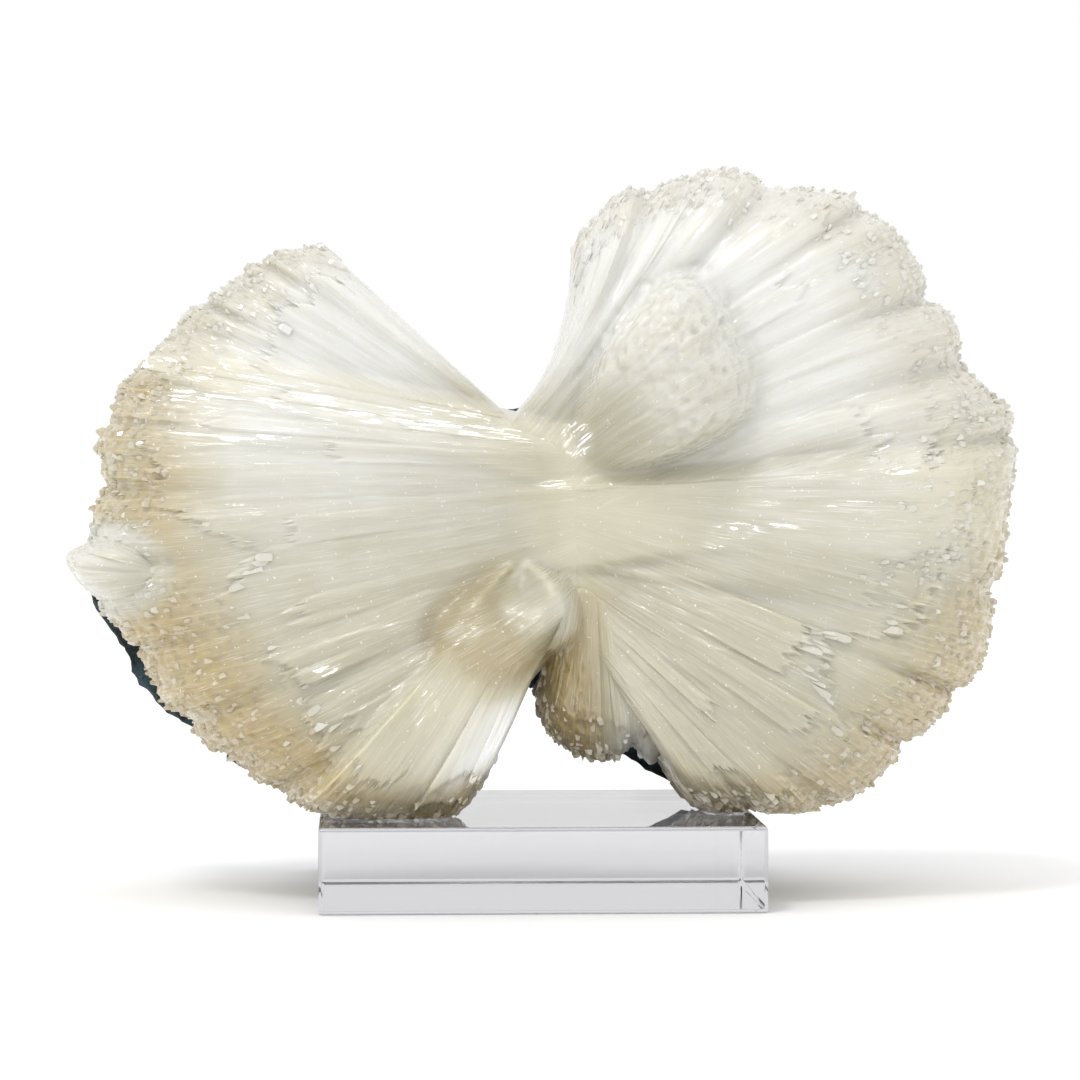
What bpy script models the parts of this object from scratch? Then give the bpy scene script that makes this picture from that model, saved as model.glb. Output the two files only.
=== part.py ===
# Stilbite: a bow-tie spray of crystals on a crust of dark rock, standing on a clear acrylic block.
# Units in the tables are millimetres: x to the right, y away from the viewer, z up.
import math
import random

import bmesh
import bpy
from mathutils import Matrix, Vector, noise

MM = 0.001
GAP = 0.3

# Clear block
STAND_WIDTH = 66.0
STAND_DEPTH = 66.0
STAND_HEIGHT = 12.7
STAND_ROUND = 1.6

# Specimen: its depth runs from the block's front face (y = 0) to the face split off the cavity wall
BACK = 46.0
FOOT = STAND_HEIGHT + GAP
SPECIMEN_SHIFT = 1.4
SHOULDER = 0.74
SIDE_TAPER = 4.5
MOST_NARROWED = 0.3
BLADE_SEAM = 0.1
BLADE_STEP = 1.3
BLADE_LIFT = 0.6
SWELL = 1.1

# Rock crust on the back
ROCK_CENTRE = (0.0, 55.0)
ROCK_FRONT = BACK + GAP
ROCK_THICKNESS = 6.0
ROCK_OUTLINE = [
    (-73.5, 54.5), (-70.5, 45.5), (-66.0, 37.5), (-61.5, 30.0), (-55.0, 23.5), (-49.0, 18.5), (-41.5, 15.0),
    (-33.0, 14.5), (-20.0, 17.0), (-12.0, 23.0), (-3.0, 33.0), (8.0, 24.0), (15.5, 17.5), (22.0, 15.0),
    (34.0, 15.5), (45.5, 20.0), (54.0, 28.5), (61.0, 38.0), (64.5, 46.0), (66.0, 54.0), (67.0, 64.0),
    (64.0, 75.0), (59.5, 85.0), (54.5, 94.0), (47.5, 100.0), (37.0, 103.5), (26.0, 105.0), (15.0, 102.0),
    (9.5, 96.0), (7.5, 86.5), (0.0, 74.5), (-10.0, 71.5), (-23.0, 81.0), (-34.5, 92.0), (-43.5, 91.0),
    (-52.0, 83.5), (-59.0, 76.0), (-63.5, 68.5), (-66.5, 60.5),
]

# Each fan: the ends of its fibres at the waist and at the rim as (x, z) from one side of the fan to the other,
# how far the fibres bow (bend), the depth of its front face at the waist, at the shoulder of each side and at
# the rim, and the number of blades it is built of.
FANS = [
    dict(
        name="upper_left", blades=9, seed=7, waist=28.0, shoulder=(22.0, 21.0), edge=32.0,
        start=[(-6.5, 74.0), (-3.5, 64.0)],
        rim=[(-33.5, 99.0), (-39.0, 98.5), (-44.0, 97.0), (-47.5, 93.5), (-52.5, 89.5), (-55.0, 85.5), (-60.0, 80.0)],
    ),
    dict(
        name="left", blades=19, seed=5, waist=22.0, shoulder=(14.0, 6.0), edge=28.0,
        start=[(12.0, 69.0), (12.0, 58.0), (9.0, 45.0)],
        rim=[
            (-57.0, 82.0), (-63.5, 77.5), (-67.5, 70.0), (-68.0, 61.5), (-69.5, 53.0), (-67.0, 44.0),
            (-61.5, 35.0), (-54.5, 26.0), (-46.0, 19.5), (-37.5, 14.0), (-29.0, 12.0), (-20.5, 13.0),
        ],
    ),
    dict(
        name="left_foot", blades=7, seed=12, waist=14.0, shoulder=(7.0, 4.0), edge=17.0,
        start=[(1.0, 41.0), (-6.5, 47.5)],
        rim=[(-10.5, 17.0), (-14.5, 13.0), (-22.0, 12.0), (-29.0, 12.0), (-36.0, 15.0)],
    ),
    dict(
        name="round_lobe", blades=4, seed=2, waist=12.0, shoulder=(8.0, 7.0), edge=18.0,
        start=[(1.0, 47.0), (-6.0, 50.0)],
        rim=[(-1.5, 38.0), (-5.5, 34.0), (-9.5, 32.5), (-14.0, 34.0), (-16.0, 38.0), (-16.5, 43.0)],
    ),
    dict(
        name="waist_crystals", blades=5, seed=4, waist=11.0, shoulder=(8.0, 8.0), edge=18.0,
        start=[(-3.0, 50.5), (-6.5, 47.5)],
        rim=[(2.5, 48.0), (4.5, 44.0), (4.0, 40.5), (0.0, 37.5), (-4.5, 39.0), (-8.5, 42.5)],
    ),
    dict(
        name="upper_right", blades=20, seed=11, waist=22.0, shoulder=(18.0, 10.0), edge=30.0,
        start=[(-9.0, 70.0), (-3.0, 62.0), (2.0, 50.0)],
        bend=[(4.0, 78.0), (14.5, 84.5), (35.0, 57.0)],
        rim=[
            (4.0, 99.0), (8.5, 104.5), (14.5, 108.5), (22.5, 110.0), (28.5, 111.0), (37.5, 108.5),
            (47.0, 106.5), (53.5, 101.5), (58.5, 94.5), (63.0, 85.5), (67.5, 77.0), (71.0, 71.5),
            (72.0, 65.5), (70.0, 57.0),
        ],
    ),
    dict(
        name="lower_right", blades=20, seed=13, waist=20.0, shoulder=(10.0, 6.0), edge=28.0,
        start=[(0.0, 62.0), (0.0, 52.0), (4.0, 41.5)],
        rim=[
            (70.5, 64.0), (70.5, 54.0), (68.0, 40.0), (65.0, 32.5), (60.0, 27.0), (54.5, 21.5),
            (48.5, 15.5), (40.5, 12.0), (34.5, 12.0), (27.0, 12.5), (22.5, 14.0), (18.5, 20.0),
        ],
    ),
    dict(
        name="middle_right", blades=8, seed=17, waist=17.0, shoulder=(5.0, 4.0), edge=17.0,
        start=[(8.5, 62.5), (8.5, 50.0)],
        rim=[(53.0, 69.0), (60.0, 66.5), (63.5, 60.0), (63.0, 53.0), (58.5, 47.0), (51.5, 42.5)],
    ),
    dict(
        name="knob", blades=8, seed=19, waist=18.0, shoulder=(3.0, 2.0), edge=20.0,
        start=[(5.0, 73.0), (10.0, 66.0)],
        rim=[
            (7.5, 83.0), (11.5, 90.0), (17.0, 94.5), (21.5, 96.0), (26.5, 93.0), (31.0, 86.0),
            (33.5, 79.0), (32.0, 74.0), (26.0, 69.0), (16.0, 65.0),
        ],
    ),
    dict(
        name="amber_cluster", blades=4, seed=23, waist=20.0, shoulder=(17.0, 16.0), edge=25.0,
        start=[(3.0, 46.0), (9.0, 46.0)],
        rim=[(-1.5, 31.0), (0.0, 25.0), (4.5, 21.5), (9.5, 20.5), (12.0, 22.5)],
    ),
    dict(
        name="blade_cluster", blades=5, seed=29, waist=19.0, shoulder=(14.0, 14.0), edge=22.0,
        start=[(7.0, 45.0), (13.0, 44.0)],
        rim=[(7.5, 22.5), (10.5, 21.0), (13.5, 22.0), (16.0, 19.5), (19.0, 24.5)],
    ),
]

# Blocky crystals that stand out of the rim of a fan: which fan, and how many along its rim
RIM_CRYSTALS = {"upper_left": 7, "left": 22, "left_foot": 5, "upper_right": 24, "lower_right": 24, "amber_cluster": 3}
CRYSTAL_WIDTH = 3.0
CRYSTAL_LENGTH = 5.0
CRYSTAL_ROOT = 2.6

# The white blade that lies over the tip of the rock at the far left: its two ends as (x, y, z)
TIP_BLADE = [(-70.5, 38.0, 55.0), (-57.0, 30.0, 52.0)]
TIP_BLADE_WIDTH = 6.5
TIP_BLADE_THICKNESS = 7.0


def clear_scene():
    for item in list(bpy.data.objects):
        bpy.data.objects.remove(item, do_unlink=True)


def material(name, colour, roughness, transmission=0.0):
    made = bpy.data.materials.new(name)
    made.use_nodes = True
    surface = made.node_tree.nodes["Principled BSDF"]
    surface.inputs["Base Color"].default_value = (*colour, 1.0)
    surface.inputs["Roughness"].default_value = roughness
    surface.inputs["Metallic"].default_value = 0.0
    surface.inputs["Transmission Weight"].default_value = transmission
    made.diffuse_color = (*colour, 1.0)
    return made


def add_object(name, mesh_data, finish, collection):
    if mesh_data.calc_volume(signed=True) < 0.0:
        bmesh.ops.reverse_faces(mesh_data, faces=mesh_data.faces)
    mesh = bpy.data.meshes.new(name)
    mesh_data.to_mesh(mesh)
    mesh_data.free()
    made = bpy.data.objects.new(name, mesh)
    made.data.materials.append(finish)
    collection.objects.link(made)
    return made


def along(points, share):
    """Point at a share (0 to 1) of a list of (x, z) points, on a smooth curve through them."""
    last = len(points) - 1
    place = min(max(share, 0.0), 1.0) * last
    step = min(int(place), last - 1)
    t = place - step
    before, here, there, after = (
        Vector(points[min(max(step + offset, 0), last)]) for offset in (-1, 0, 1, 2)
    )
    return 0.5 * (
        2.0 * here
        + (there - before) * t
        + (2.0 * before - 5.0 * here + 4.0 * there - after) * t * t
        + (3.0 * here - before - 3.0 * there + after) * t ** 3
    )


def fibre_point(fan, across, out):
    """(x, z) on a fan's fibre, from the waist (out = 0) to the rim (out = 1)."""
    start = along(fan["start"], across)
    rim = along(fan["rim"], across)
    if "bend" not in fan:
        return start.lerp(rim, out)
    bend = along(fan["bend"], across)
    return start.lerp(bend, out).lerp(bend.lerp(rim, out), out)


def fibre_length(fan, across):
    return (fibre_point(fan, across, 1.0) - fibre_point(fan, across, 0.0)).length


def wall_inset(fan, depth):
    """How far the side wall has drawn in from the rim at a depth behind it."""
    return SIDE_TAPER * (depth - fan["edge"]) / (BACK - fan["edge"])


def front_depth(fan, across, out):
    """Depth of a fan's domed front face: it comes forward from the waist and rolls back at rim and sides."""
    shoulder = fan["shoulder"][0] + (fan["shoulder"][1] - fan["shoulder"][0]) * across
    if out < SHOULDER:
        rise = math.sin(0.5 * math.pi * out / SHOULDER)
        depth = fan["waist"] + (shoulder - fan["waist"]) * rise
    else:
        roll = (out - SHOULDER) / (1.0 - SHOULDER)
        depth = shoulder + (fan["edge"] - shoulder) * (1.0 - math.sqrt(1.0 - roll * roll))
    phase = 0.9 * fan["seed"]
    depth += SWELL * out * math.sin(7.0 * across + phase) * math.cos(4.0 * out + 5.0 * across + phase)
    side = abs(2.0 * across - 1.0) ** 7
    return depth + (fan["edge"] - depth) * (1.0 - math.sqrt(1.0 - side))


def block(columns, rows, layers):
    """A unit cube cut into columns (x), rows (z) and layers (y)."""
    cube = bmesh.new()
    bmesh.ops.create_cube(cube, size=1.0, matrix=Matrix.Translation((0.5, 0.5, 0.5)))
    for axis, cuts in ((0, columns - 1), (2, rows - 1), (1, layers - 1)):
        if cuts < 1:
            continue
        others = [other for other in range(3) if other != axis]
        parallel = [
            edge for edge in cube.edges
            if all(abs(edge.verts[0].co[other] - edge.verts[1].co[other]) < 1e-6 for other in others)
        ]
        bmesh.ops.subdivide_edges(cube, edges=parallel, cuts=cuts, use_grid_fill=True)
    return cube


def fan_solid(fan, finish, collection):
    """One fan as a block of blades. Each blade lies a little higher or lower than the next, and ends in a step
    down to the rim band, some way in from the rim."""
    chance = random.Random(fan["seed"])
    blades = fan["blades"]
    lifts = [chance.uniform(-BLADE_LIFT, BLADE_LIFT) for _ in range(blades)]
    lengths = [chance.uniform(0.96, 1.0) for _ in range(blades)]
    steps = [chance.uniform(0.72, 0.87) for _ in range(blades)]
    columns = 2 * blades - 1
    rows = 7
    solid = block(columns, rows, 1)
    for vertex in solid.verts:
        column = round(vertex.co.x * columns)
        blade = column // 2
        far_side = column % 2
        across = (blade + (1.0 - BLADE_SEAM if far_side else BLADE_SEAM)) / blades
        if column in (0, columns):
            across = round(across)
        step = steps[blade]
        out = (0.0, 0.33, 0.58, step, step + 0.012, 0.93, 0.98, 1.0)[round(vertex.co.z * rows)]
        reach = out * (1.0 - (1.0 - lengths[blade]) * out ** 3)
        if vertex.co.y > 0.5:
            depth = BACK + 4.0 + 2.0 * (fan["seed"] % 5)
            narrowing = min(MOST_NARROWED, wall_inset(fan, depth) / fibre_length(fan, across))
            reach *= 1.0 - narrowing
            across += (0.5 - across) * narrowing
        else:
            depth = front_depth(fan, across, out) + lifts[blade] * out
            if out <= step:
                depth -= BLADE_STEP * out
        place = fibre_point(fan, across, reach)
        vertex.co = Vector((place.x, depth, place.y)) * MM
    return add_object("growth_" + fan["name"], solid, finish, collection)


def crystal_solid(base, direction, width, thickness, length, spin):
    """A blade of crystal with a wedge end, from its root at base along direction."""
    crystal = bmesh.new()
    bmesh.ops.create_cube(crystal, size=1.0, matrix=Matrix.Translation((0.0, 0.0, 0.5)))
    for vertex in crystal.verts:
        if vertex.co.z > 0.5:
            vertex.co.x *= 0.72
            vertex.co.y *= 0.35
    turn = Vector(direction).to_track_quat("Z", "Y").to_matrix().to_4x4()
    size = Matrix.Diagonal((width, thickness, length, 1.0))
    place = Matrix.Translation(Vector(base)) @ turn @ Matrix.Rotation(spin, 4, "Z") @ size
    bmesh.ops.transform(crystal, matrix=Matrix.Scale(MM, 4) @ place, verts=crystal.verts)
    return crystal


def rim_crystals(fan, count, finish, collection):
    """Blocky crystals along the rim, by turns on the band in front and on the side wall."""
    chance = random.Random(100 + fan["seed"])
    joined = bmesh.new()
    scratch = bpy.data.meshes.new("scratch")
    for number in range(count):
        across = (number + 0.5 + chance.uniform(-0.15, 0.15)) / count
        if number % 2:
            depth = chance.uniform(fan["edge"] + 3.0, BACK - 5.0)
            out = 1.0 - (wall_inset(fan, depth) + CRYSTAL_ROOT) / fibre_length(fan, across)
            lean = chance.uniform(-0.2, 0.2)
        else:
            out = chance.uniform(0.82, 0.90)
            depth = front_depth(fan, across, out) + CRYSTAL_ROOT
            lean = chance.uniform(-0.7, -0.4)
        root = fibre_point(fan, across, out)
        outward = (fibre_point(fan, across, 1.0) - root).normalized()
        direction = (outward.x, lean, outward.y)
        base = (root.x, depth, root.y)
        width = CRYSTAL_WIDTH * chance.uniform(0.8, 1.25)
        length = CRYSTAL_LENGTH * chance.uniform(0.75, 1.0)
        crystal = crystal_solid(base, direction, width, width * 0.75, length, chance.uniform(0.0, math.pi))
        crystal.to_mesh(scratch)
        crystal.free()
        joined.from_mesh(scratch)
    bpy.data.meshes.remove(scratch)
    return add_object("growth_crystals_" + fan["name"], joined, finish, collection)


def tip_blade(finish, collection):
    tip, root = (Vector(end) for end in TIP_BLADE)
    blade = crystal_solid(root, tip - root, TIP_BLADE_WIDTH, TIP_BLADE_THICKNESS, (tip - root).length, 0.0)
    return add_object("growth_tip_blade", blade, finish, collection)


def cutting_box(name, low, high, finish, collection):
    box = bmesh.new()
    size = [b - a for a, b in zip(low, high)]
    middle = [0.5 * (a + b) for a, b in zip(low, high)]
    place = Matrix.Translation(Vector(middle)) @ Matrix.Diagonal((*size, 1.0))
    bmesh.ops.create_cube(box, size=1.0, matrix=Matrix.Scale(MM, 4) @ place)
    return add_object(name, box, finish, collection)


def boolean(target, operation, other):
    """The exact solver leaves some of these grooved fans joined at a single edge, so this is the manifold one."""
    step = target.modifiers.new(operation.title() + " " + other.name, "BOOLEAN")
    step.operation = operation
    step.solver = "MANIFOLD"
    step.object = other


def stilbite(finish, collection, growth, cutters):
    """The whole spray: every fan and crystal joined, then cut flat at the back and under the feet."""
    body = fan_solid(FANS[1], finish, collection)
    body.name = "stilbite"
    body.data.name = "stilbite"
    for fan in FANS:
        if fan is not FANS[1]:
            fan_solid(fan, finish, growth)
        if fan["name"] in RIM_CRYSTALS:
            rim_crystals(fan, RIM_CRYSTALS[fan["name"]], finish, growth)
    tip_blade(finish, growth)
    for grown in growth.objects:
        boolean(body, "UNION", grown)
    keep = cutting_box("inside_cut", (-90.0, -20.0, FOOT), (90.0, BACK, 130.0), finish, cutters)
    boolean(body, "INTERSECT", keep)
    body.location.x = SPECIMEN_SHIFT * MM
    keep.location.x = SPECIMEN_SHIFT * MM
    for part in growth.objects:
        part.location.x = SPECIMEN_SHIFT * MM
    return body


def rock(finish, collection):
    """The crust: a flattened ball pressed flat in front, drawn out to the outline and rough behind."""
    segments = 72
    rings = 12
    ball = bmesh.new()
    bmesh.ops.create_uvsphere(ball, u_segments=segments, v_segments=rings, radius=1.0)
    outline = outline_reach(segments)
    for vertex in ball.verts:
        height = math.asin(max(-1.0, min(1.0, vertex.co.z))) / (0.5 * math.pi)
        turn = math.atan2(vertex.co.y, vertex.co.x) % (2.0 * math.pi)
        reach = 0.0 if abs(height) > 0.999 else outline[round(turn / (2.0 * math.pi) * segments) % segments]
        share = min(1.0, 1.12 * (1.0 - abs(height))) if height < 0.0 else (1.0 - abs(height)) ** 0.8
        x = ROCK_CENTRE[0] + reach * share * math.cos(turn)
        z = ROCK_CENTRE[1] + reach * share * math.sin(turn)
        rough = noise.fractal(Vector((x, 0.0, z)) * 0.09, 0.6, 2.0, 3)
        if height < -0.001:
            depth = ROCK_FRONT
        elif height < 0.001:
            depth = ROCK_FRONT + 1.2
        else:
            depth = ROCK_FRONT + 2.6 + (ROCK_THICKNESS - 2.6) * min(1.0, 2.2 * height) + 1.6 * rough
        vertex.co = Vector((x, depth, z)) * MM
    crust = add_object("matrix", ball, finish, collection)
    crust.location.x = SPECIMEN_SHIFT * MM
    return crust


def outline_reach(segments):
    """Distance from the crust's centre to its outline, at equal turns around it."""
    centre = Vector(ROCK_CENTRE)
    corners = sorted(
        (math.atan2(z - centre.y, x - centre.x) % (2.0 * math.pi), (Vector((x, z)) - centre).length)
        for x, z in ROCK_OUTLINE
    )
    around = [(corners[-1][0] - 2.0 * math.pi, corners[-1][1]), *corners]
    around.append((corners[0][0] + 2.0 * math.pi, corners[0][1]))
    reach = []
    for number in range(segments):
        turn = 2.0 * math.pi * number / segments
        for (low, near), (high, far) in zip(around, around[1:]):
            if low <= turn <= high:
                reach.append(near + (far - near) * (turn - low) / (high - low))
                break
    return reach


def stand(finish, collection):
    """The clear block, its edges rounded."""
    box = bmesh.new()
    place = Matrix.Translation((0.0, 0.5 * STAND_DEPTH, 0.5 * STAND_HEIGHT))
    size = Matrix.Diagonal((STAND_WIDTH, STAND_DEPTH, STAND_HEIGHT, 1.0))
    bmesh.ops.create_cube(box, size=1.0, matrix=Matrix.Scale(MM, 4) @ place @ size)
    made = add_object("stand", box, finish, collection)
    rounding = made.modifiers.new("Rounded edges", "BEVEL")
    rounding.width = STAND_ROUND * MM
    rounding.segments = 3
    rounding.limit_method = "ANGLE"
    return made


def centre_on_footprint(nodes):
    """Move everything so that the middle of the whole object's box is at x = y = 0 and its bottom at z = 0."""
    bpy.context.view_layer.update()
    view = bpy.context.evaluated_depsgraph_get()
    corners = []
    for node in nodes:
        shown = node.evaluated_get(view)
        corners += [shown.matrix_world @ vertex.co for vertex in shown.data.vertices]
    low = Vector([min(corner[axis] for corner in corners) for axis in range(3)])
    high = Vector([max(corner[axis] for corner in corners) for axis in range(3)])
    move = Vector((-0.5 * (low.x + high.x), -0.5 * (low.y + high.y), -low.z))
    for item in bpy.data.objects:
        item.location += move
    print("moved by (mm)", [round(value / MM, 4) for value in move])
    print("box (mm)", [round(value / MM, 3) for value in high - low])


def main():
    clear_scene()
    scene = bpy.context.scene
    shown = bpy.data.collections.new("stilbite_on_stand")
    growth = bpy.data.collections.new("growth")
    cutters = bpy.data.collections.new("cutters")
    for collection in (shown, growth, cutters):
        scene.collection.children.link(collection)
    crystal = material("stilbite_crystal", (0.80, 0.76, 0.62), 0.35)
    basalt = material("dark_rock", (0.035, 0.055, 0.065), 0.85)
    acrylic = material("clear_acrylic", (0.92, 0.93, 0.96), 0.05, 0.9)
    nodes = [stilbite(crystal, shown, growth, cutters), rock(basalt, shown), stand(acrylic, shown)]
    for collection in (growth, cutters):
        for item in collection.objects:
            item.hide_render = True
            item.display_type = "WIRE"
    centre_on_footprint(nodes)


main()
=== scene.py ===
import math
import random

import bpy
import numpy as np
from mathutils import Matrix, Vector


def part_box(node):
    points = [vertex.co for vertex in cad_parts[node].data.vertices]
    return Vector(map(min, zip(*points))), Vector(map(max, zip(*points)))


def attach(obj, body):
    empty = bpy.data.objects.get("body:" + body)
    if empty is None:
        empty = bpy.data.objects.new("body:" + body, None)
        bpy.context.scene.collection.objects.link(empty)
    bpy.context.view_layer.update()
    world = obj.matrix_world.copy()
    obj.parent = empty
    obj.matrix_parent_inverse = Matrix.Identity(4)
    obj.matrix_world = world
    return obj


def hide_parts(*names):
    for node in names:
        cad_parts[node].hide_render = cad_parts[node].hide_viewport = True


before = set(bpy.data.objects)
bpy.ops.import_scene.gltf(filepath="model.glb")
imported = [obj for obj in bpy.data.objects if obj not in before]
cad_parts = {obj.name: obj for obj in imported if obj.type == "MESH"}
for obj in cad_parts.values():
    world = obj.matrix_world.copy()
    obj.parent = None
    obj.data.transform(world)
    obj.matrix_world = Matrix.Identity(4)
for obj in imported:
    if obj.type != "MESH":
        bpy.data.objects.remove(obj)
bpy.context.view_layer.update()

MM = 0.001
BLOCK_LOW, BLOCK_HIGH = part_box("stand")
ORIGIN = np.array([0.5 * (BLOCK_LOW.x + BLOCK_HIGH.x), BLOCK_LOW.y, BLOCK_LOW.z]) / MM
BLOCK_SIZE = np.array(BLOCK_HIGH - BLOCK_LOW) / MM
BLOCK_ROUNDING = 0.6

# Photograph: a long lens, nearly level
IMAGE_SIZE = 1080
SENSOR_WIDTH = 36.0
FOCAL_PIXELS = 4200.0
CAMERA_DISTANCE = 613.0
CAMERA_TURN = math.radians(2.6)
CAMERA_HEIGHT = 70.1
HORIZON_ROW = 435.0
BLOCK_MIDDLE_COLUMN = 544.0

# Light
WORLD_STRENGTH = 1.0
KEY_FROM = (-0.30, -0.38, 0.87)
SOFT_STRENGTH = 0.45
SOFT_ANGLE = 60.0
GLINT_STRENGTH = 0.55
GLINT_ANGLE = 11.0
FLOOR_SIZE = 4.0
FLOOR_LEVEL = -0.05

# Where the specimen stands
BACK = 46.0
FOOT = float(BLOCK_SIZE[2]) + 0.3
SPECIMEN_SHIFT = 1.4

# A fan's form: its walls draw in towards the back, its front swells in waves, and its sheet dives under the
# fans beside it
SIDE_TAPER = 4.5
MOST_NARROWED = 0.3
SWELL = 1.1
SWELL_PHASE = 0.9
RUN_ON = 0.14
RUN_ASIDE = 0.05
DIVE = 9.0
BROW_OUT = 0.3
COVERED_WITHIN = 2.5
PROFILE_STEPS = 1501

# Its blades: how they differ in height, in length and in where their upper plates break off
BLADE_SEAM = 0.1
LIFT_SEAM = 0.3
LIFT_SHOWN = 0.6
BLADE_LIFT = 0.6
BLADE_LENGTHS = (0.985, 1.0)
BLADE_STEPS = (0.72, 0.87)
BLADE_STEP = 1.25
STEP_WIDTH = 0.012
STEP_RAGGED = (0.022, 0.008)
PLATE_SIDE = 0.008
PLATE_END = 0.010
PLATE_RAGGED = (0.02, 0.012)
PLATE_RISE = 0.75
NOTCH = 0.010
LONGER = 1.006

# Fine relief, in millimetres: height, width and length of each kind of crystal end, the noise it draws on,
# how softly its end and its sides fall off, and how far it leans
PLATES_IN_FRONT = [(0.10, 5.2, 24.0, 20, 0.05, 0.12, 2.6), (0.05, 1.9, 13.0, 21, 0.08, 0.15, 2.0)]
ENDS_AT_RIM = [
    (0.52, 2.2, 3.6, 23, 0.25, 0.20, 0.5), (0.38, 1.3, 1.9, 24, 0.25, 0.25, 0.5),
    (0.12, 0.8, 1.1, 25, 0.25, 0.25, 0.5),
]
PLATES_ON_SIDES = [(0.5, 2.4, 17.0, 26, 0.04, 0.10, 0.5), (0.15, 0.9, 7.0, 27, 0.06, 0.10, 0.5)]
FIBRE_HEIGHT = 0.03
FADE_AT_BACK = 1.5
BUMP_HEIGHT = 0.7

# Tints: behind the front they blend over a depth, amber is strongest low down, where it also paints the shade
# on the lower parts, and both come in at the rim
TINT_BEHIND = (4.0, 6.0)
LOW_AMBER_AND_SHADE = (70.0, 50.0)
RIM_TINT = (0.68, 0.3)
PEARL_STARTS = (0.05, 0.45)

# Noise in space: the size of its cells in millimetres, its seed and its height
BUMPS = [(1.5, 91, 1.0), (0.8, 92, 0.4)]
PATCHES = [(9.0, 71, 0.6), (3.5, 72, 0.4)]
ROCK_LUMPS = [(3.6, 81, 2.2), (1.5, 82, 1.2)]
ROCK_WAVES = [(14.0, 83, 1.0)]

# Where fans flow together: how wide the filled creases are, and the map of depths they are read from
FLOW = 4.2
MAP_PITCH = 0.42
MAP_LEFT = -82.0
MAP_BOTTOM = 4.0
MAP_COLUMNS = 393
MAP_ROWS = 272
MAP_SAMPLES = (700, 420)
TINT_SAMPLES = (400, 300)
NOTHING = 99.0
COVER = 3
DEEP_CREASE = 3.0
OVERLAP = 0.5
TINT_BLUR = 16
TINT_BLEND = 0.8

# Small crystals on the rims
APEX_DEPTH = 34.0
IN_FRONT = 0.45
ONE_TIP_IN = 40
LEAN_IN_FRONT = 0.45
CRYSTAL_WIDTHS = ((0.5, 1.2), (0.7, 1.6))
CRYSTAL_THICKNESSES = (0.35, 0.7)
CRYSTAL_LENGTHS = (2.0, 4.0)
CRYSTAL_LEAN = 0.08
CRYSTAL_SPIN = 0.5
STAND_OUTS = ((0.05, 0.4), (0.3, 0.9))

# Each fan. Its fibres run from start to rim, each a list of (x, z) from one side of the fan to the other, and
# bow towards bend. Its front face has a depth at the waist, at the shoulder of each side and at the edge, and
# dome says how far out the shoulder is and how squarely the sides turn back. rolled tells how far each side
# rolls back, and brow how wide and how deep its first side hangs back. Its surface has blades, grooves at
# (across, width, from out, depth), plates, gleams and bumps at (across from, to, out from, to, strength),
# steps where the upper plates break off, and a band of crystal ends that begins so far out. A fan with flow
# melts into those behind it over so many millimetres, and a swelling is only a form in their skin. The mesh
# has columns and rows, and layers of wall. amber and pearl are tints, from the waist to the rim.
# Pearl below zero darkens a fan towards the shade colour: on the lower fans and the round lobe, in part a
# darker tone and in part painted shade.
PLAIN_FAN = dict(
    bend=None, dome=(0.74, 7.0), rolled=(1.0, 1.0), brow=(0.1, 0.0), grooves=(), plates=(), gleams=(),
    bumps=(), steps=None, flow=None, swelling=False, layers=20, crystals=0, amber=(0.0, 0.0),
)
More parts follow.
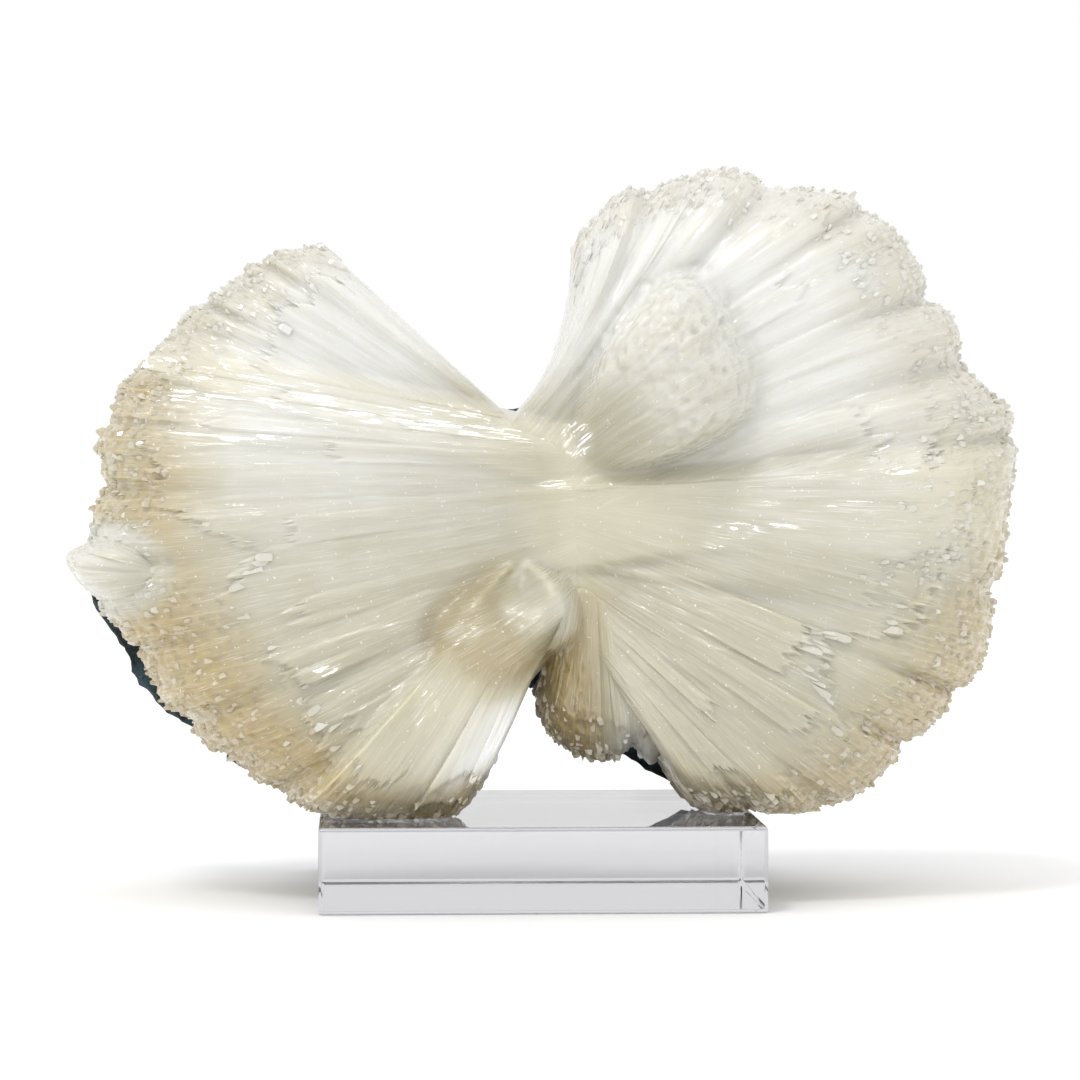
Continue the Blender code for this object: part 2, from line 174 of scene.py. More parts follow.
FAN_SHAPES = [
    dict(
        name="upper_left", seed=7, blades=9, columns=240, rows=110, crystals=300,
        waist=28.0, shoulder=(22.0, 21.0), edge=32.0, rolled=(1.0, 0.0), band=(0.93, 0.95, 0.90, 0.88, 0.86),
        grooves=[(0.33, 0.03, 0.7, 1.8), (0.66, 0.03, 0.7, 2.0)],
        amber=(0.0, 0.4), pearl=((0.9, 0.9, 0.75), (0.6, 0.3, 0.25)),
        start=[(-6.5, 74.0), (-3.5, 64.0)],
        rim=[
            (-33.5, 99.0), (-39.0, 98.5), (-44.0, 97.0), (-47.5, 93.5), (-53.0, 90.5), (-56.2, 86.6),
            (-61.0, 80.8),
        ],
    ),
    dict(
        name="left", seed=5, blades=19, columns=420, rows=170, crystals=1500,
        waist=26.0, shoulder=(14.0, 6.0), edge=28.0, rolled=(0.0, 1.0), brow=(0.17, 8.0),
        band=(0.88, 0.80, 0.82, 0.80, 0.76, 0.80, 0.86),
        steps=(0.95, 0.92, 0.9, 0.86, 0.68, 0.8, 0.73, 0.78, 0.84, 0.9, 0.93),
        plates=[
            (0.02, 0.05, 0.55, 0.93, 0.5), (0.045, 0.085, 0.30, 0.70, 0.5), (0.085, 0.12, 0.12, 0.42, 0.4),
            (0.12, 0.16, 0.35, 0.78, 0.5), (0.16, 0.22, 0.15, 0.55, 0.35), (0.615, 0.65, 0.55, 0.715, 1.0),
            (0.33, 0.40, 0.30, 0.62, 0.35), (0.50, 0.56, 0.35, 0.66, 0.3), (0.72, 0.78, 0.4, 0.72, 0.4),
        ],
        gleams=[(0.01, 0.05, 0.62, 0.96, 1.0), (0.045, 0.125, 0.06, 0.9, 1.0), (0.125, 0.16, 0.08, 0.4, 0.6)],
        grooves=[
            (0.16, 0.012, 0.7, 1.2), (0.27, 0.014, 0.75, 1.5), (0.40, 0.016, 0.7, 1.6),
            (0.52, 0.014, 0.7, 1.4), (0.63, 0.016, 0.65, 2.0), (0.78, 0.016, 0.6, 1.8),
        ],
        amber=(0.0, 1.45), pearl=((0.9, 0.35, -0.2, -0.4), (0.5, -0.2, -1.0, 0.1)),
        start=[(12.0, 69.0), (12.0, 58.0), (9.0, 45.0)],
        rim=[
            (-58.3, 82.8), (-64.0, 78.0), (-67.5, 70.0), (-68.0, 61.5), (-69.5, 53.0), (-67.0, 44.0),
            (-61.5, 35.0), (-54.5, 26.0), (-46.0, 19.5), (-37.5, 14.0), (-29.0, 12.0), (-20.5, 13.0),
        ],
    ),
    dict(
        name="left_foot", seed=12, blades=7, columns=170, rows=110, crystals=260,
        waist=22.0, shoulder=(7.0, 4.0), edge=17.0, rolled=(1.0, 0.0), band=(0.90, 0.84, 0.82, 0.86),
        plates=[(0.0, 0.5, 0.2, 0.9, 1.5), (0.03, 0.3, 0.3, 0.8, 0.5)],
        amber=(0.0, 1.1), pearl=((1.1, 1.0, 0.1, -0.1), (1.0, 1.0, 0.4, 0.3)),
        start=[(1.0, 41.0), (-6.5, 47.5)],
        rim=[(-10.5, 17.0), (-14.5, 13.0), (-22.0, 12.0), (-29.0, 12.0), (-36.0, 15.0)],
    ),
    dict(
        name="round_lobe", seed=2, blades=4, swelling=True, flow=2.2,
        waist=22.0, shoulder=(8.6, 8.2), edge=13.0, dome=(0.5, 2.6),
        amber=(0.6, 0.65), pearl=((-1.7, -1.7), (-1.8, -1.8)),
        start=[(1.0, 47.0), (-6.0, 50.0)],
        rim=[(-1.0, 37.5), (-4.5, 32.5), (-9.5, 30.3), (-14.5, 32.0), (-17.0, 37.0), (-16.5, 43.0)],
    ),
    dict(
        name="waist_crystals", seed=4, blades=5, swelling=True, flow=3.0,
        waist=22.0, shoulder=(9.6, 9.6), edge=15.0, dome=(0.5, 2.6),
        amber=(0.05, 0.05), pearl=((0.1, 0.1), (0.3, 0.3)),
        start=[(-3.0, 50.5), (-6.5, 47.5)],
        rim=[(2.5, 48.0), (4.5, 44.0), (4.0, 40.5), (0.0, 37.5), (-4.5, 39.0), (-8.5, 42.5)],
    ),
    dict(
        name="upper_right", seed=11, blades=20, columns=430, rows=170, crystals=1300,
        waist=26.0, shoulder=(18.0, 10.0), edge=30.0, rolled=(1.0, 0.0),
        band=(0.96, 0.95, 0.93, 0.94, 0.90, 0.86, 0.80),
        steps=(0.9, 0.85, 0.94, 0.92, 0.95, 0.9, 0.88, 0.9, 0.84, 0.8, 0.8),
        plates=[
            (0.02, 0.07, 0.3, 0.75, 0.5), (0.09, 0.15, 0.4, 0.86, 0.5), (0.2, 0.26, 0.5, 0.9, 0.4),
            (0.5, 0.58, 0.4, 0.75, 0.45), (0.62, 0.68, 0.45, 0.85, 0.4), (0.74, 0.84, 0.5, 0.72, 0.5),
        ],
        grooves=[
            (0.175, 0.022, 0.35, 2.0), (0.37, 0.022, 0.45, 1.8), (0.49, 0.015, 0.6, 1.6),
            (0.64, 0.016, 0.6, 2.0), (0.73, 0.022, 0.4, 2.2), (0.87, 0.015, 0.7, 1.6),
        ],
        amber=(0.0, 0.45), pearl=((0.8, 0.95, 0.95, 0.8, 0.35), (0.8, 0.7, 0.6, 0.4, 0.0)),
        start=[(-9.0, 70.0), (-3.0, 62.0), (2.0, 50.0)],
        bend=[(4.0, 78.0), (14.5, 84.5), (35.0, 57.0)],
        rim=[
            (4.0, 99.0), (8.5, 104.5), (14.5, 108.5), (22.5, 110.0), (28.5, 111.0), (37.5, 108.5),
            (47.0, 106.5), (53.5, 101.5), (58.5, 94.5), (63.8, 86.0), (68.3, 77.5), (71.7, 72.0),
            (72.0, 65.5), (70.0, 57.0),
        ],
    ),
    dict(
        name="lower_right", seed=13, blades=20, columns=420, rows=165, crystals=1500,
        waist=25.0, shoulder=(10.0, 6.0), edge=28.0, rolled=(0.0, 1.0),
        band=(0.84, 0.78, 0.76, 0.74, 0.80, 0.84, 0.88),
        steps=(0.88, 0.85, 0.8, 0.64, 0.70, 0.85, 0.86, 0.9, 0.93, 0.95, 0.95),
        plates=[
            (0.28, 0.44, 0.25, 0.60, 0.6), (0.46, 0.54, 0.35, 0.72, 0.5), (0.58, 0.64, 0.2, 0.55, 0.4),
            (0.15, 0.2, 0.45, 0.7, 0.4), (0.70, 0.78, 0.3, 0.75, 0.5),
        ],
        grooves=[
            (0.14, 0.014, 0.7, 1.5), (0.30, 0.016, 0.6, 2.0), (0.44, 0.014, 0.7, 1.6),
            (0.60, 0.016, 0.6, 1.8), (0.76, 0.014, 0.6, 1.6),
        ],
        amber=(0.0, 0.8), pearl=((0.35, 0.0, -0.25, -0.45), (0.0, -0.2, -0.4, -0.6)),
        start=[(0.0, 62.0), (0.0, 52.0), (4.0, 41.5)],
        rim=[
            (70.5, 64.0), (70.5, 54.0), (68.0, 40.0), (65.0, 32.5), (60.0, 27.0), (54.5, 21.5),
            (48.5, 15.5), (40.5, 12.0), (34.5, 12.0), (27.0, 12.5), (22.5, 14.0), (18.5, 20.0),
        ],
    ),
    dict(
        name="middle_right", seed=17, blades=8, swelling=True, flow=2.6, crystals=240,
        waist=26.0, shoulder=(6.5, 5.5), edge=16.0, dome=(0.62, 2.2),
        plates=[
            (0.50, 0.78, 0.10, 0.27, 0.5), (0.34, 0.52, 0.22, 0.45, 0.5), (0.10, 0.26, 0.35, 0.68, 0.6),
            (0.26, 0.38, 0.5, 0.8, 0.45), (0.55, 0.66, 0.5, 0.83, 0.35),
        ],
        pearl=((0.35, 0.1), (0.3, 0.0)),
        start=[(8.5, 62.5), (8.5, 50.0)],
        rim=[(53.0, 69.0), (60.0, 66.5), (63.5, 60.0), (63.0, 53.0), (58.5, 47.0), (51.5, 42.5)],
    ),
    dict(
        name="knob", seed=19, blades=8, swelling=True, flow=2.2,
        waist=17.0, shoulder=(4.0, 3.0), edge=24.0, dome=(0.5, 2.6),
        bumps=[(0.0, 0.62, 0.42, 1.1, 1.0), (0.0, 0.95, 0.3, 1.1, 0.7)],
        amber=(0.05, 0.05), pearl=((0.5, 0.45, 0.3), (0.9, 0.75, 0.5)),
        start=[(4.0, 72.0), (9.0, 65.0)],
        rim=[
            (7.5, 83.0), (11.5, 90.0), (17.0, 94.5), (21.5, 96.0), (26.5, 93.0), (31.0, 86.0),
            (33.5, 79.0), (32.0, 74.0), (26.0, 69.0), (16.0, 65.0),
        ],
    ),
    dict(
        name="amber_cluster", seed=23, blades=4, flow=1.5, columns=120, rows=90, crystals=200,
        waist=20.0, shoulder=(17.0, 16.0), edge=25.0, dome=(0.6, 3.0), band=(0.35, 0.5),
        amber=(1.0, 1.2), pearl=((-0.5, -0.2), (-0.6, -0.4)),
        start=[(3.0, 46.0), (9.0, 46.0)],
        rim=[(-1.5, 31.0), (0.0, 25.0), (4.5, 21.5), (9.5, 20.5), (12.0, 22.5)],
    ),
    dict(
        name="blade_cluster", seed=29, blades=5, flow=1.5, columns=120, rows=90, crystals=16,
        waist=19.0, shoulder=(14.0, 14.0), edge=22.0, dome=(0.7, 3.0), band=(0.9, 1.0),
        amber=(0.1, 0.0), pearl=((-0.1, 0.3), (0.2, 0.7)),
        start=[(7.0, 45.0), (13.0, 44.0)],
        rim=[(7.5, 22.5), (10.5, 21.0), (13.0, 22.8), (15.8, 20.0), (19.0, 23.5)],
    ),
    dict(
        name="tip_blade", seed=31, blades=5, flow=0.8, columns=120, rows=70, layers=14,
        waist=15.0, shoulder=(12.0, 13.0), edge=27.0, dome=(0.45, 2.4), band=(0.8, 0.85, 0.8),
        plates=[(0.2, 0.36, 0.2, 0.85, 0.6), (0.5, 0.62, 0.3, 0.9, 0.5)],
        pearl=((0.45, 0.3), (0.5, 0.2)),
        start=[(-57.5, 51.0), (-57.5, 47.5)],
        rim=[
            (-60.5, 54.4), (-64.8, 55.4), (-69.0, 54.2), (-72.6, 52.0), (-71.6, 48.8), (-69.2, 46.2),
            (-66.5, 44.8), (-62.0, 45.4),
        ],
    ),
]
FANS = [{**PLAIN_FAN, **shape} for shape in FAN_SHAPES]

# Places where many cleavage faces gleam at once, and where the fused fans get painted glint streaks in their
# colour: middle (x, z), half width and height, and strength
GLEAMS = [
    (4.5, 69.5, 3.0, 3.6, 1.0), (1.0, 62.6, 3.0, 0.9, 0.9), (27.9, 55.9, 4.8, 1.5, 1.0),
    (24.5, 53.8, 2.0, 0.8, 1.0), (35.0, 57.0, 4.0, 1.0, 0.8), (45.0, 59.5, 8.5, 1.3, 0.9),
    (51.8, 66.4, 5.0, 2.6, 0.9), (60.0, 74.0, 4.5, 3.0, 0.6), (47.3, 96.0, 4.5, 3.0, 0.5),
    (14.0, 90.0, 5.5, 4.5, 0.7), (9.5, 86.0, 3.0, 3.5, 0.6), (5.5, 95.0, 2.2, 7.0, 0.6),
    (24.0, 104.0, 6.0, 3.0, 0.5), (-33.4, 35.2, 2.8, 2.2, 1.0), (-18.5, 30.0, 2.5, 5.0, 0.7),
    (-8.0, 22.0, 3.0, 4.0, 0.6), (-13.0, 40.5, 3.5, 2.0, 0.8), (-24.0, 41.5, 4.5, 0.9, 0.6),
    (-28.0, 14.5, 9.0, 1.6, 0.7), (27.0, 15.5, 6.0, 1.6, 0.8), (36.0, 39.0, 3.5, 2.2, 0.6),
    (-59.5, 80.9, 7.0, 1.6, 1.0), (-4.0, 43.0, 4.0, 2.5, 0.5), (-55.0, 75.9, 7.6, 1.8, 1.0),
    (-34.8, 74.8, 7.4, 1.6, 1.0), (-15.7, 72.5, 9.5, 3.0, 1.0), (-47.3, 70.3, 13.0, 1.9, 0.9),
]

# Rock crust on the back
ROCK_CENTRE = (0.0, 55.0)
ROCK_FRONT = BACK + 0.3
ROCK_THICKNESS = 6.0
ROCK_OUTLINE = [
    (-72.4, 50.0), (-69.6, 45.0), (-65.2, 37.5), (-60.8, 30.5), (-54.0, 24.2), (-47.5, 19.5), (-41.5, 15.5),
    (-33.0, 14.5), (-20.0, 17.0), (-12.0, 23.0), (-3.0, 33.0), (8.0, 26.0), (14.0, 19.5), (22.0, 15.0),
    (34.0, 15.5), (45.5, 20.0), (54.0, 28.5), (61.0, 38.0), (64.5, 46.0), (66.0, 54.0), (67.0, 64.0),
    (64.0, 75.0), (59.5, 85.0), (54.5, 94.0), (47.5, 100.0), (37.0, 103.5), (26.0, 105.0), (15.0, 102.0),
    (9.5, 96.0), (7.5, 86.5), (0.0, 74.5), (-10.0, 71.5), (-23.0, 81.0), (-34.5, 92.0), (-43.5, 91.0),
    (-52.0, 83.5), (-58.0, 76.0), (-61.0, 68.5), (-62.0, 60.0), (-64.0, 54.0), (-69.0, 52.5),
]
ROCK_RIM_FROM = 0.15
ROCK_RIM_DEPTH = 2.3
ROCK_BACK_FROM = 2.6
ROCK_MIDDLE = 3.4
ROCK_AROUND = 360
ROCK_RIM_LAYERS = 8
ROCK_FRONT_RINGS = (0.15, 0.5, 0.8, 0.9, 0.94, 0.97, 0.985)
ROCK_BACK_RINGS = 45


# Curves and noise

def along(points, share):
    """Points at shares (0 to 1) of a list of (x, z) points, on a smooth curve that runs on past its ends."""
    points = np.asarray(points, float)
    last = len(points) - 1
    inside = np.clip(share, 0.0, 1.0)
    beyond = (np.asarray(share) - inside)[..., None] * last
    place = inside * last
    step = np.minimum(place.astype(int), last - 1)
    t = (place - step)[..., None]
    before, here, there, after = (points[np.clip(step + offset, 0, last)] for offset in (-1, 0, 1, 2))
    run = np.where(beyond < 0.0, points[1] - points[0], points[-1] - points[-2])
    return beyond * run + 0.5 * (
        2.0 * here
        + (there - before) * t
        + (2.0 * before - 5.0 * here + 4.0 * there - after) * t ** 2
        + (3.0 * here - before - 3.0 * there + after) * t ** 3
    )


def smooth(t):
    t = np.clip(t, 0.0, 1.0)
    return t * t * (3.0 - 2.0 * t)


def within(value, low, high, edge):
    """1 between two ends and 0 outside them, with soft edges of a width inside."""
    return smooth((value - low) / edge) * smooth((high - value) / edge)


def spread(values, across):
    """Values set evenly from one side of a fan to the other, read in between."""
    return np.interp(across, np.linspace(0.0, 1.0, len(values)), values)


def flat_topped(values, across, seam):
    """A value for each blade, level across the blade and sloping to the next over a seam."""
    place = across * len(values) - 0.5
    low = np.floor(place).astype(int)
    share = np.clip((place - low - 0.5 + seam) / (2.0 * seam), 0.0, 1.0)
    values = np.asarray(values)
    last = len(values) - 1
    return values[np.clip(low, 0, last)] * (1.0 - share) + values[np.clip(low + 1, 0, last)] * share


def between(table, row, column, t, s):
    """Values of a grid between its points, a share t past each row and s past each column."""
    near = table[row, column] * (1.0 - s) + table[row, column + 1] * s
    far = table[row + 1, column] * (1.0 - s) + table[row + 1, column + 1] * s
    return near * (1.0 - t) + far * t


def lattice(across, out, cells_across, cells_out, seed):
    """Smooth noise from -1 to 1 with so many cells across the fibres and along them."""
    table = np.random.default_rng(seed).uniform(-1.0, 1.0, (cells_out + 2, cells_across + 2))
    x = np.clip(across, 0.0, 1.0) * cells_across
    y = np.clip(out, 0.0, 1.0) * cells_out
    column = np.minimum(x.astype(int), cells_across - 1)
    row = np.minimum(y.astype(int), cells_out - 1)
    return between(table, row, column, smooth(y - row), smooth(x - column))


def noise3(points, size, seed, cells=32):
    """Smooth noise from -1 to 1 in space, with cells of a size in millimetres."""
    table = np.random.default_rng(seed).uniform(-1.0, 1.0, (cells, cells, cells))
    place = np.asarray(points) / size
    cell = np.floor(place).astype(int)
    t = smooth(place - cell)
    total = np.zeros(len(place))
    for corner in np.ndindex(2, 2, 2):
        weights = np.where(corner, t, 1.0 - t)
        x, y, z = ((cell + corner) % cells).T
        total += weights[:, 0] * weights[:, 1] * weights[:, 2] * table[x, y, z]
    return total


def noise_sum(points, kinds, shaped=np.asarray):
    """Several kinds of noise in space, one on another."""
    return sum(shaped(noise3(points, size, seed)) * height for size, seed, height in kinds)


def above_zero(values):
    return np.maximum(0.0, values)


# The form of a fan, at places across it (0 to 1) and out along its fibres (0 at the waist, 1 at the rim)

def fibre_points(fan, across, out):
    """(x, z) on a fan's fibres."""
    out = np.asarray(out)[..., None]
    start = along(fan["start"], across)
    rim = along(fan["rim"], across)
    if fan["bend"] is None:
        return start + (rim - start) * out
    bend = along(fan["bend"], across)
    return (1.0 - out) ** 2 * start + 2.0 * out * (1.0 - out) * bend + out ** 2 * rim


def fibre_lengths(fan, across):
    return np.linalg.norm(along(fan["rim"], across) - along(fan["start"], across), axis=-1)


def front_depth(fan, across, out):
    """Depth of a fan's domed front face: it comes forward from the waist and rolls back at rim and sides."""
    shoulder = fan["shoulder"][0] + (fan["shoulder"][1] - fan["shoulder"][0]) * across
    shoulder_at, side_power = fan["dome"]
    rise = np.sin(0.5 * np.pi * np.minimum(out / shoulder_at, 1.0))
    roll = np.clip((out - shoulder_at) / (1.0 - shoulder_at), 0.0, 1.0)
    depth = fan["waist"] + (shoulder - fan["waist"]) * rise
    depth = depth + (fan["edge"] - shoulder) * (1.0 - np.sqrt(1.0 - roll ** 2))
    phase = SWELL_PHASE * fan["seed"]
    depth = depth + SWELL * out * np.sin(7.0 * across + phase) * np.cos(4.0 * out + 5.0 * across + phase)
    share = np.where(across < 0.5, fan["rolled"][0], fan["rolled"][1])
    side = np.minimum(1.0, np.abs(2.0 * across - 1.0)) ** side_power
    depth = depth + share * (fan["edge"] - depth) * (1.0 - np.sqrt(1.0 - side))
    depth = depth + DIVE * (np.minimum(out, 0.0) / RUN_ON) ** 2
    depth = depth + DIVE * (np.maximum(0.0, np.abs(across - 0.5) - 0.5) / RUN_ASIDE) ** 2
    width, drop = fan["brow"]
    return depth + drop * np.minimum(out / BROW_OUT, 1.0) * np.clip(1.0 - across / width, 0.0, 1.0) ** 1.3


def wall_narrowing(fan, depth, fibre):
    """The share of its fibre by which the side wall has drawn in, at a depth behind the rim."""
    inset = np.maximum(0.0, SIDE_TAPER * (depth - fan["edge"]) / (BACK - fan["edge"]))
    return np.minimum(MOST_NARROWED, inset / fibre)


def blade_values(fan):
    """Lifts, lengths and steps blade by blade, in the same order as in the solid."""
    chance = random.Random(fan["seed"])
    ranges = ((-BLADE_LIFT, BLADE_LIFT), BLADE_LENGTHS, BLADE_STEPS)
    return [[chance.uniform(low, high) for _ in range(fan["blades"])] for low, high in ranges]


def across_ends(fan):
    """Where a fan's mesh begins and ends across. A side that doesn't roll back runs on under the next fan."""
    first, last = fan["rolled"]
    return -RUN_ASIDE * (1.0 - first), 1.0 + RUN_ASIDE * (1.0 - last)


def groove_drop(fan, across, out):
    """How deep the grooves between a fan's lobes are, in millimetres."""
    drop = np.zeros(np.shape(across))
    for middle, width, out_from, deepest in fan["grooves"]:
        growing = smooth((out - out_from) / (1.0 - out_from))
        drop = drop + deepest * np.exp(-((across - middle) / width) ** 2) * growing
    return drop


def reach_of(fan, across, out):
    """Share of a fibre that is really there, with blades of unequal length and notches at the grooves."""
    length = flat_topped(blade_values(fan)[1], across, BLADE_SEAM)
    return out * LONGER * (1.0 - (1.0 - length + NOTCH * groove_drop(fan, across, out)) * out ** 3)


def step_places(fan, across):
    """Where the upper plates of a fan break off, in shares of the fibre, with how ragged the line is."""
    chance = np.random.default_rng(fan["seed"])
    fine_count = fan["blades"] * 5
    jagged = flat_topped(chance.uniform(-1.0, 1.0, fine_count), across, 0.1)
    ragged = flat_topped(chance.uniform(-1.0, 1.0, fine_count * 3), across, 0.1)
    step = spread(fan["steps"] or blade_values(fan)[2], across)
    return step + STEP_RAGGED[0] * jagged + STEP_RAGGED[1] * ragged, jagged, ragged


def fan_surface(fan, across, out):
    """Points of a fan's front face, with its blades and plates and the steps where their ends break off."""
    chance = np.random.default_rng(fan["seed"] + 1)
    step, jagged, ragged = step_places(fan, across)
    lifts = flat_topped(blade_values(fan)[0], across, LIFT_SEAM)
    depth = front_depth(fan, across, out) + LIFT_SHOWN * lifts * out
    depth = depth + groove_drop(fan, across, out)
    high = BLADE_STEP * flat_topped(chance.uniform(0.0, 1.0, fan["blades"]), across, 0.4)
    depth = depth - high * out * (1.0 - smooth((out - step) / STEP_WIDTH))
    for across_0, across_1, out_0, out_1, lift in fan["plates"]:
        inside = within(across, across_0, across_1, PLATE_SIDE)
        growing = smooth((out - out_0) / (PLATE_RISE * (out_1 - out_0)))
        end = out_1 + PLATE_RAGGED[0] * jagged + PLATE_RAGGED[1] * ragged
        depth = depth - lift * inside * growing * (1.0 - smooth((out - end) / PLATE_END))
    places = fibre_points(fan, across, reach_of(fan, across, out))
    return np.stack([places[..., 0], depth, places[..., 1]], axis=-1)


def profile(fan):
    """Shares of the fibre, and how far along the front face each lies, in millimetres."""
    out = np.linspace(-RUN_ON, 1.0, PROFILE_STEPS)
    depth = front_depth(fan, 0.5, out)
    length = fibre_lengths(fan, np.array([0.5]))[0]
    steps = np.hypot(np.diff(out) * length, np.diff(depth))
    return out, np.concatenate([[0.0], np.cumsum(steps)])


def turns_left(fan):
    """Whether the fan's sides follow each other anticlockwise, seen from the front."""
    places = fibre_points(fan, np.array([0.45, 0.55, 0.5, 0.5]), np.array([0.6, 0.6, 0.5, 0.6]))
    sideways = places[1] - places[0]
    outward = places[3] - places[2]
    return sideways[0] * outward[1] - sideways[1] * outward[0] > 0.0


def painted(places, across, out):
    """How strongly each point lies in places of a fan, given as (across from, to, out from, to, strength)."""
    share = np.zeros(len(across))
    for across_0, across_1, out_0, out_1, strength in places:
        inside = within(across, across_0, across_1, 0.012) * within(out, out_0, out_1, 0.04)
        share = np.maximum(share, strength * inside)
    return share


def base_tint(fan, across, out):
    """Pearl and amber of a fan, before patches and streaks."""
    body, rim = (spread(values, across) for values in fan["pearl"])
    at_rim = smooth((out - RIM_TINT[0]) / RIM_TINT[1])
    pearl = (body + (rim - body) * at_rim) * smooth((out - PEARL_STARTS[0]) / PEARL_STARTS[1])
    return pearl, fan["amber"][0] + (fan["amber"][1] - fan["amber"][0]) * at_rim


# Maps of the fans on an even grid, seen from the front

def map_cells(points):
    """The rows and columns of the map's cells that points fall in."""
    column = np.round((points[:, 0] - MAP_LEFT) / MAP_PITCH).astype(int)
    row = np.round((points[:, 2] - MAP_BOTTOM) / MAP_PITCH).astype(int)
    return np.clip(row, 0, MAP_ROWS - 1), np.clip(column, 0, MAP_COLUMNS - 1)


def seen_in(values, x, z):
    """A map's value between its grid points."""
    column = np.clip((x - MAP_LEFT) / MAP_PITCH, 0.0, MAP_COLUMNS - 1.001)
    row = np.clip((z - MAP_BOTTOM) / MAP_PITCH, 0.0, MAP_ROWS - 1.001)
    i = row.astype(int)
    j = column.astype(int)
    return between(values, i, j, row - i, column - j)


def blurred(values, passes):
    """A map with each cell averaged with its neighbours, several times over."""
    for _ in range(passes):
        for axis in (0, 1):
            values = (np.roll(values, 1, axis) + values + np.roll(values, -1, axis)) / 3.0
    return values


def depth_map(fan):
    """How far back a fan's front face lies."""
    columns, rows = MAP_SAMPLES
    across, out = np.meshgrid(np.linspace(*across_ends(fan), columns), np.linspace(-RUN_ON, 1.0, rows))
    points = fan_surface(fan, across.ravel(), out.ravel())
    cells = map_cells(points)
    total = np.zeros((MAP_ROWS, MAP_COLUMNS))
    count = np.zeros((MAP_ROWS, MAP_COLUMNS))
    np.add.at(total, cells, points[:, 1])
    np.add.at(count, cells, 1.0)
    return np.where(count > 0.0, total / np.maximum(count, 1.0), NOTHING)


def skin_maps(maps):
    """Depths of the foremost large fan, and of the whole skin, in which each form flows into the next."""
    large = np.stack([maps[fan["name"]] for fan in FANS if fan["flow"] is None])
    nearest = large.min(axis=0)
    skin = nearest - FLOW * np.log(np.exp((nearest - large) / FLOW).sum(axis=0))
    skin = np.where(nearest < NOTHING, skin, nearest)
    for fan in FANS:
        if fan["flow"] is not None:
            depth = maps[fan["name"]]
            apart = np.abs(skin - depth) / fan["flow"]
            skin = np.minimum(skin, depth) - 0.25 * fan["flow"] * np.maximum(0.0, 1.0 - apart) ** 2
            if not fan["swelling"]:
                nearest = np.minimum(nearest, depth)
    return nearest, skin


def fill_of(fan, maps, nearest, skin):
    """How far a fan's sheet comes forward to lie in the skin. Behind another fan it stays back."""
    fill = np.minimum(maps[fan["name"]], nearest + OVERLAP) - skin
    outside = maps[fan["name"]] >= NOTHING
    for _ in range(COVER):
        wider = np.maximum.reduce([np.roll(fill, shift, axis) for shift in (-1, 1) for axis in (0, 1)])
        fill = np.where(outside, wider, fill)
    return blurred(fill, 1)


def tint_maps(maps, skin):
    """The roof over all fans, and their pearl, amber, bumps and creases, blended from fan to fan."""
    roof = np.minimum.reduce(list(maps.values()))
    columns, rows = TINT_SAMPLES
    across, out = np.meshgrid(np.linspace(0.0, 1.0, columns), np.linspace(0.0, 1.0, rows))
    across, out = across.ravel(), out.ravel()
    totals = np.zeros((4, MAP_ROWS, MAP_COLUMNS))
    for fan in FANS:
        points = fan_surface(fan, across, out)
        cells = map_cells(points)
        weight = np.exp(np.minimum(0.0, roof[cells] - points[:, 1]) / TINT_BLEND)
        pearl, amber = base_tint(fan, across, out)
        for total, value in zip(totals, (1.0, pearl, amber, painted(fan["bumps"], across, out))):
            np.add.at(total, cells, weight * value)
    weights, *sums = (blurred(total, TINT_BLUR) for total in totals)
    pearl, amber, bumps = (total / np.maximum(weights, 1e-6) for total in sums)
    creases = blurred(np.where(roof < NOTHING, roof - skin, 0.0), 1)
    return dict(roof=roof, pearl=pearl, amber=amber, bumps=bumps, creases=creases)


def near_others(fan, points, bare_depth, maps):
    """1 where another fan covers a point or stands close beside it, and 0 in the open."""
    roof = np.full((MAP_ROWS, MAP_COLUMNS), NOTHING)
    for other in FANS:
        if other is not fan and not other["swelling"]:
            roof = np.minimum(roof, maps[other["name"]])
    wider = roof.copy()
    for down in range(-COVER, COVER + 1):
        for right in range(-COVER, COVER + 1):
            wider = np.minimum(wider, np.roll(roof, (down, right), (0, 1)))
    depth = bare_depth - seen_in(wider, points[:, 0], points[:, 2])
    return smooth((depth + COVERED_WITHIN) / COVERED_WITHIN)


# Meshes of the fans

def make_piece(name, points, faces, finish, sharp_angle, vectors=None):
    """A mesh object from points in the tables' millimetres, riding on the body."""
    mesh = bpy.data.meshes.new(name)
    mesh.from_pydata((points + ORIGIN) * MM, [], faces)
    mesh.update()
    for key, values in (vectors or {}).items():
        layer = mesh.attributes.new(key, "FLOAT_VECTOR", "POINT")
        layer.data.foreach_set("vector", np.asarray(values, np.float32).ravel())
    mesh.set_sharp_from_angle(angle=math.radians(sharp_angle))
    mesh.materials.append(finish)
    piece = bpy.data.objects.new(name, mesh)
    bpy.context.scene.collection.objects.link(piece)
    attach(piece, "root")
    return piece


def scales(u, s, width, length, seed, end, side, tilt, count=67):
    """Overlapping crystal ends, about 0 to 1: each rises along the fibres, leans, and breaks off."""
    table = np.random.default_rng(seed).uniform(0.0, 1.0, (count, count, 4))
    place = u / width + 0.3 * np.sin(0.11 * s + seed)
    column = np.floor(place).astype(int)
    beside = place - column
    column = column % count
    stretch = 0.7 + 0.6 * table[column, 0, 0]
    shift = 9.7 * table[column, 1, 1]
    slant = 0.5 * (table[column, 2, 2] - 0.5)
    place = s / (length * stretch) + shift + slant * (beside - 0.5)
    row = np.floor(place).astype(int)
    share = place - row
    row = row % count
    lift = 0.3 + 0.7 * table[column, row, 2]
    lean = table[column, row, 3] - 0.5
    height = lift * share ** 1.4 + 2.0 * tilt * lean * (beside - 0.5)
    height = height * (1.0 - smooth((share - 1.0 + end) / end))
    return height * smooth(beside / side) * smooth((1.0 - beside) / side)


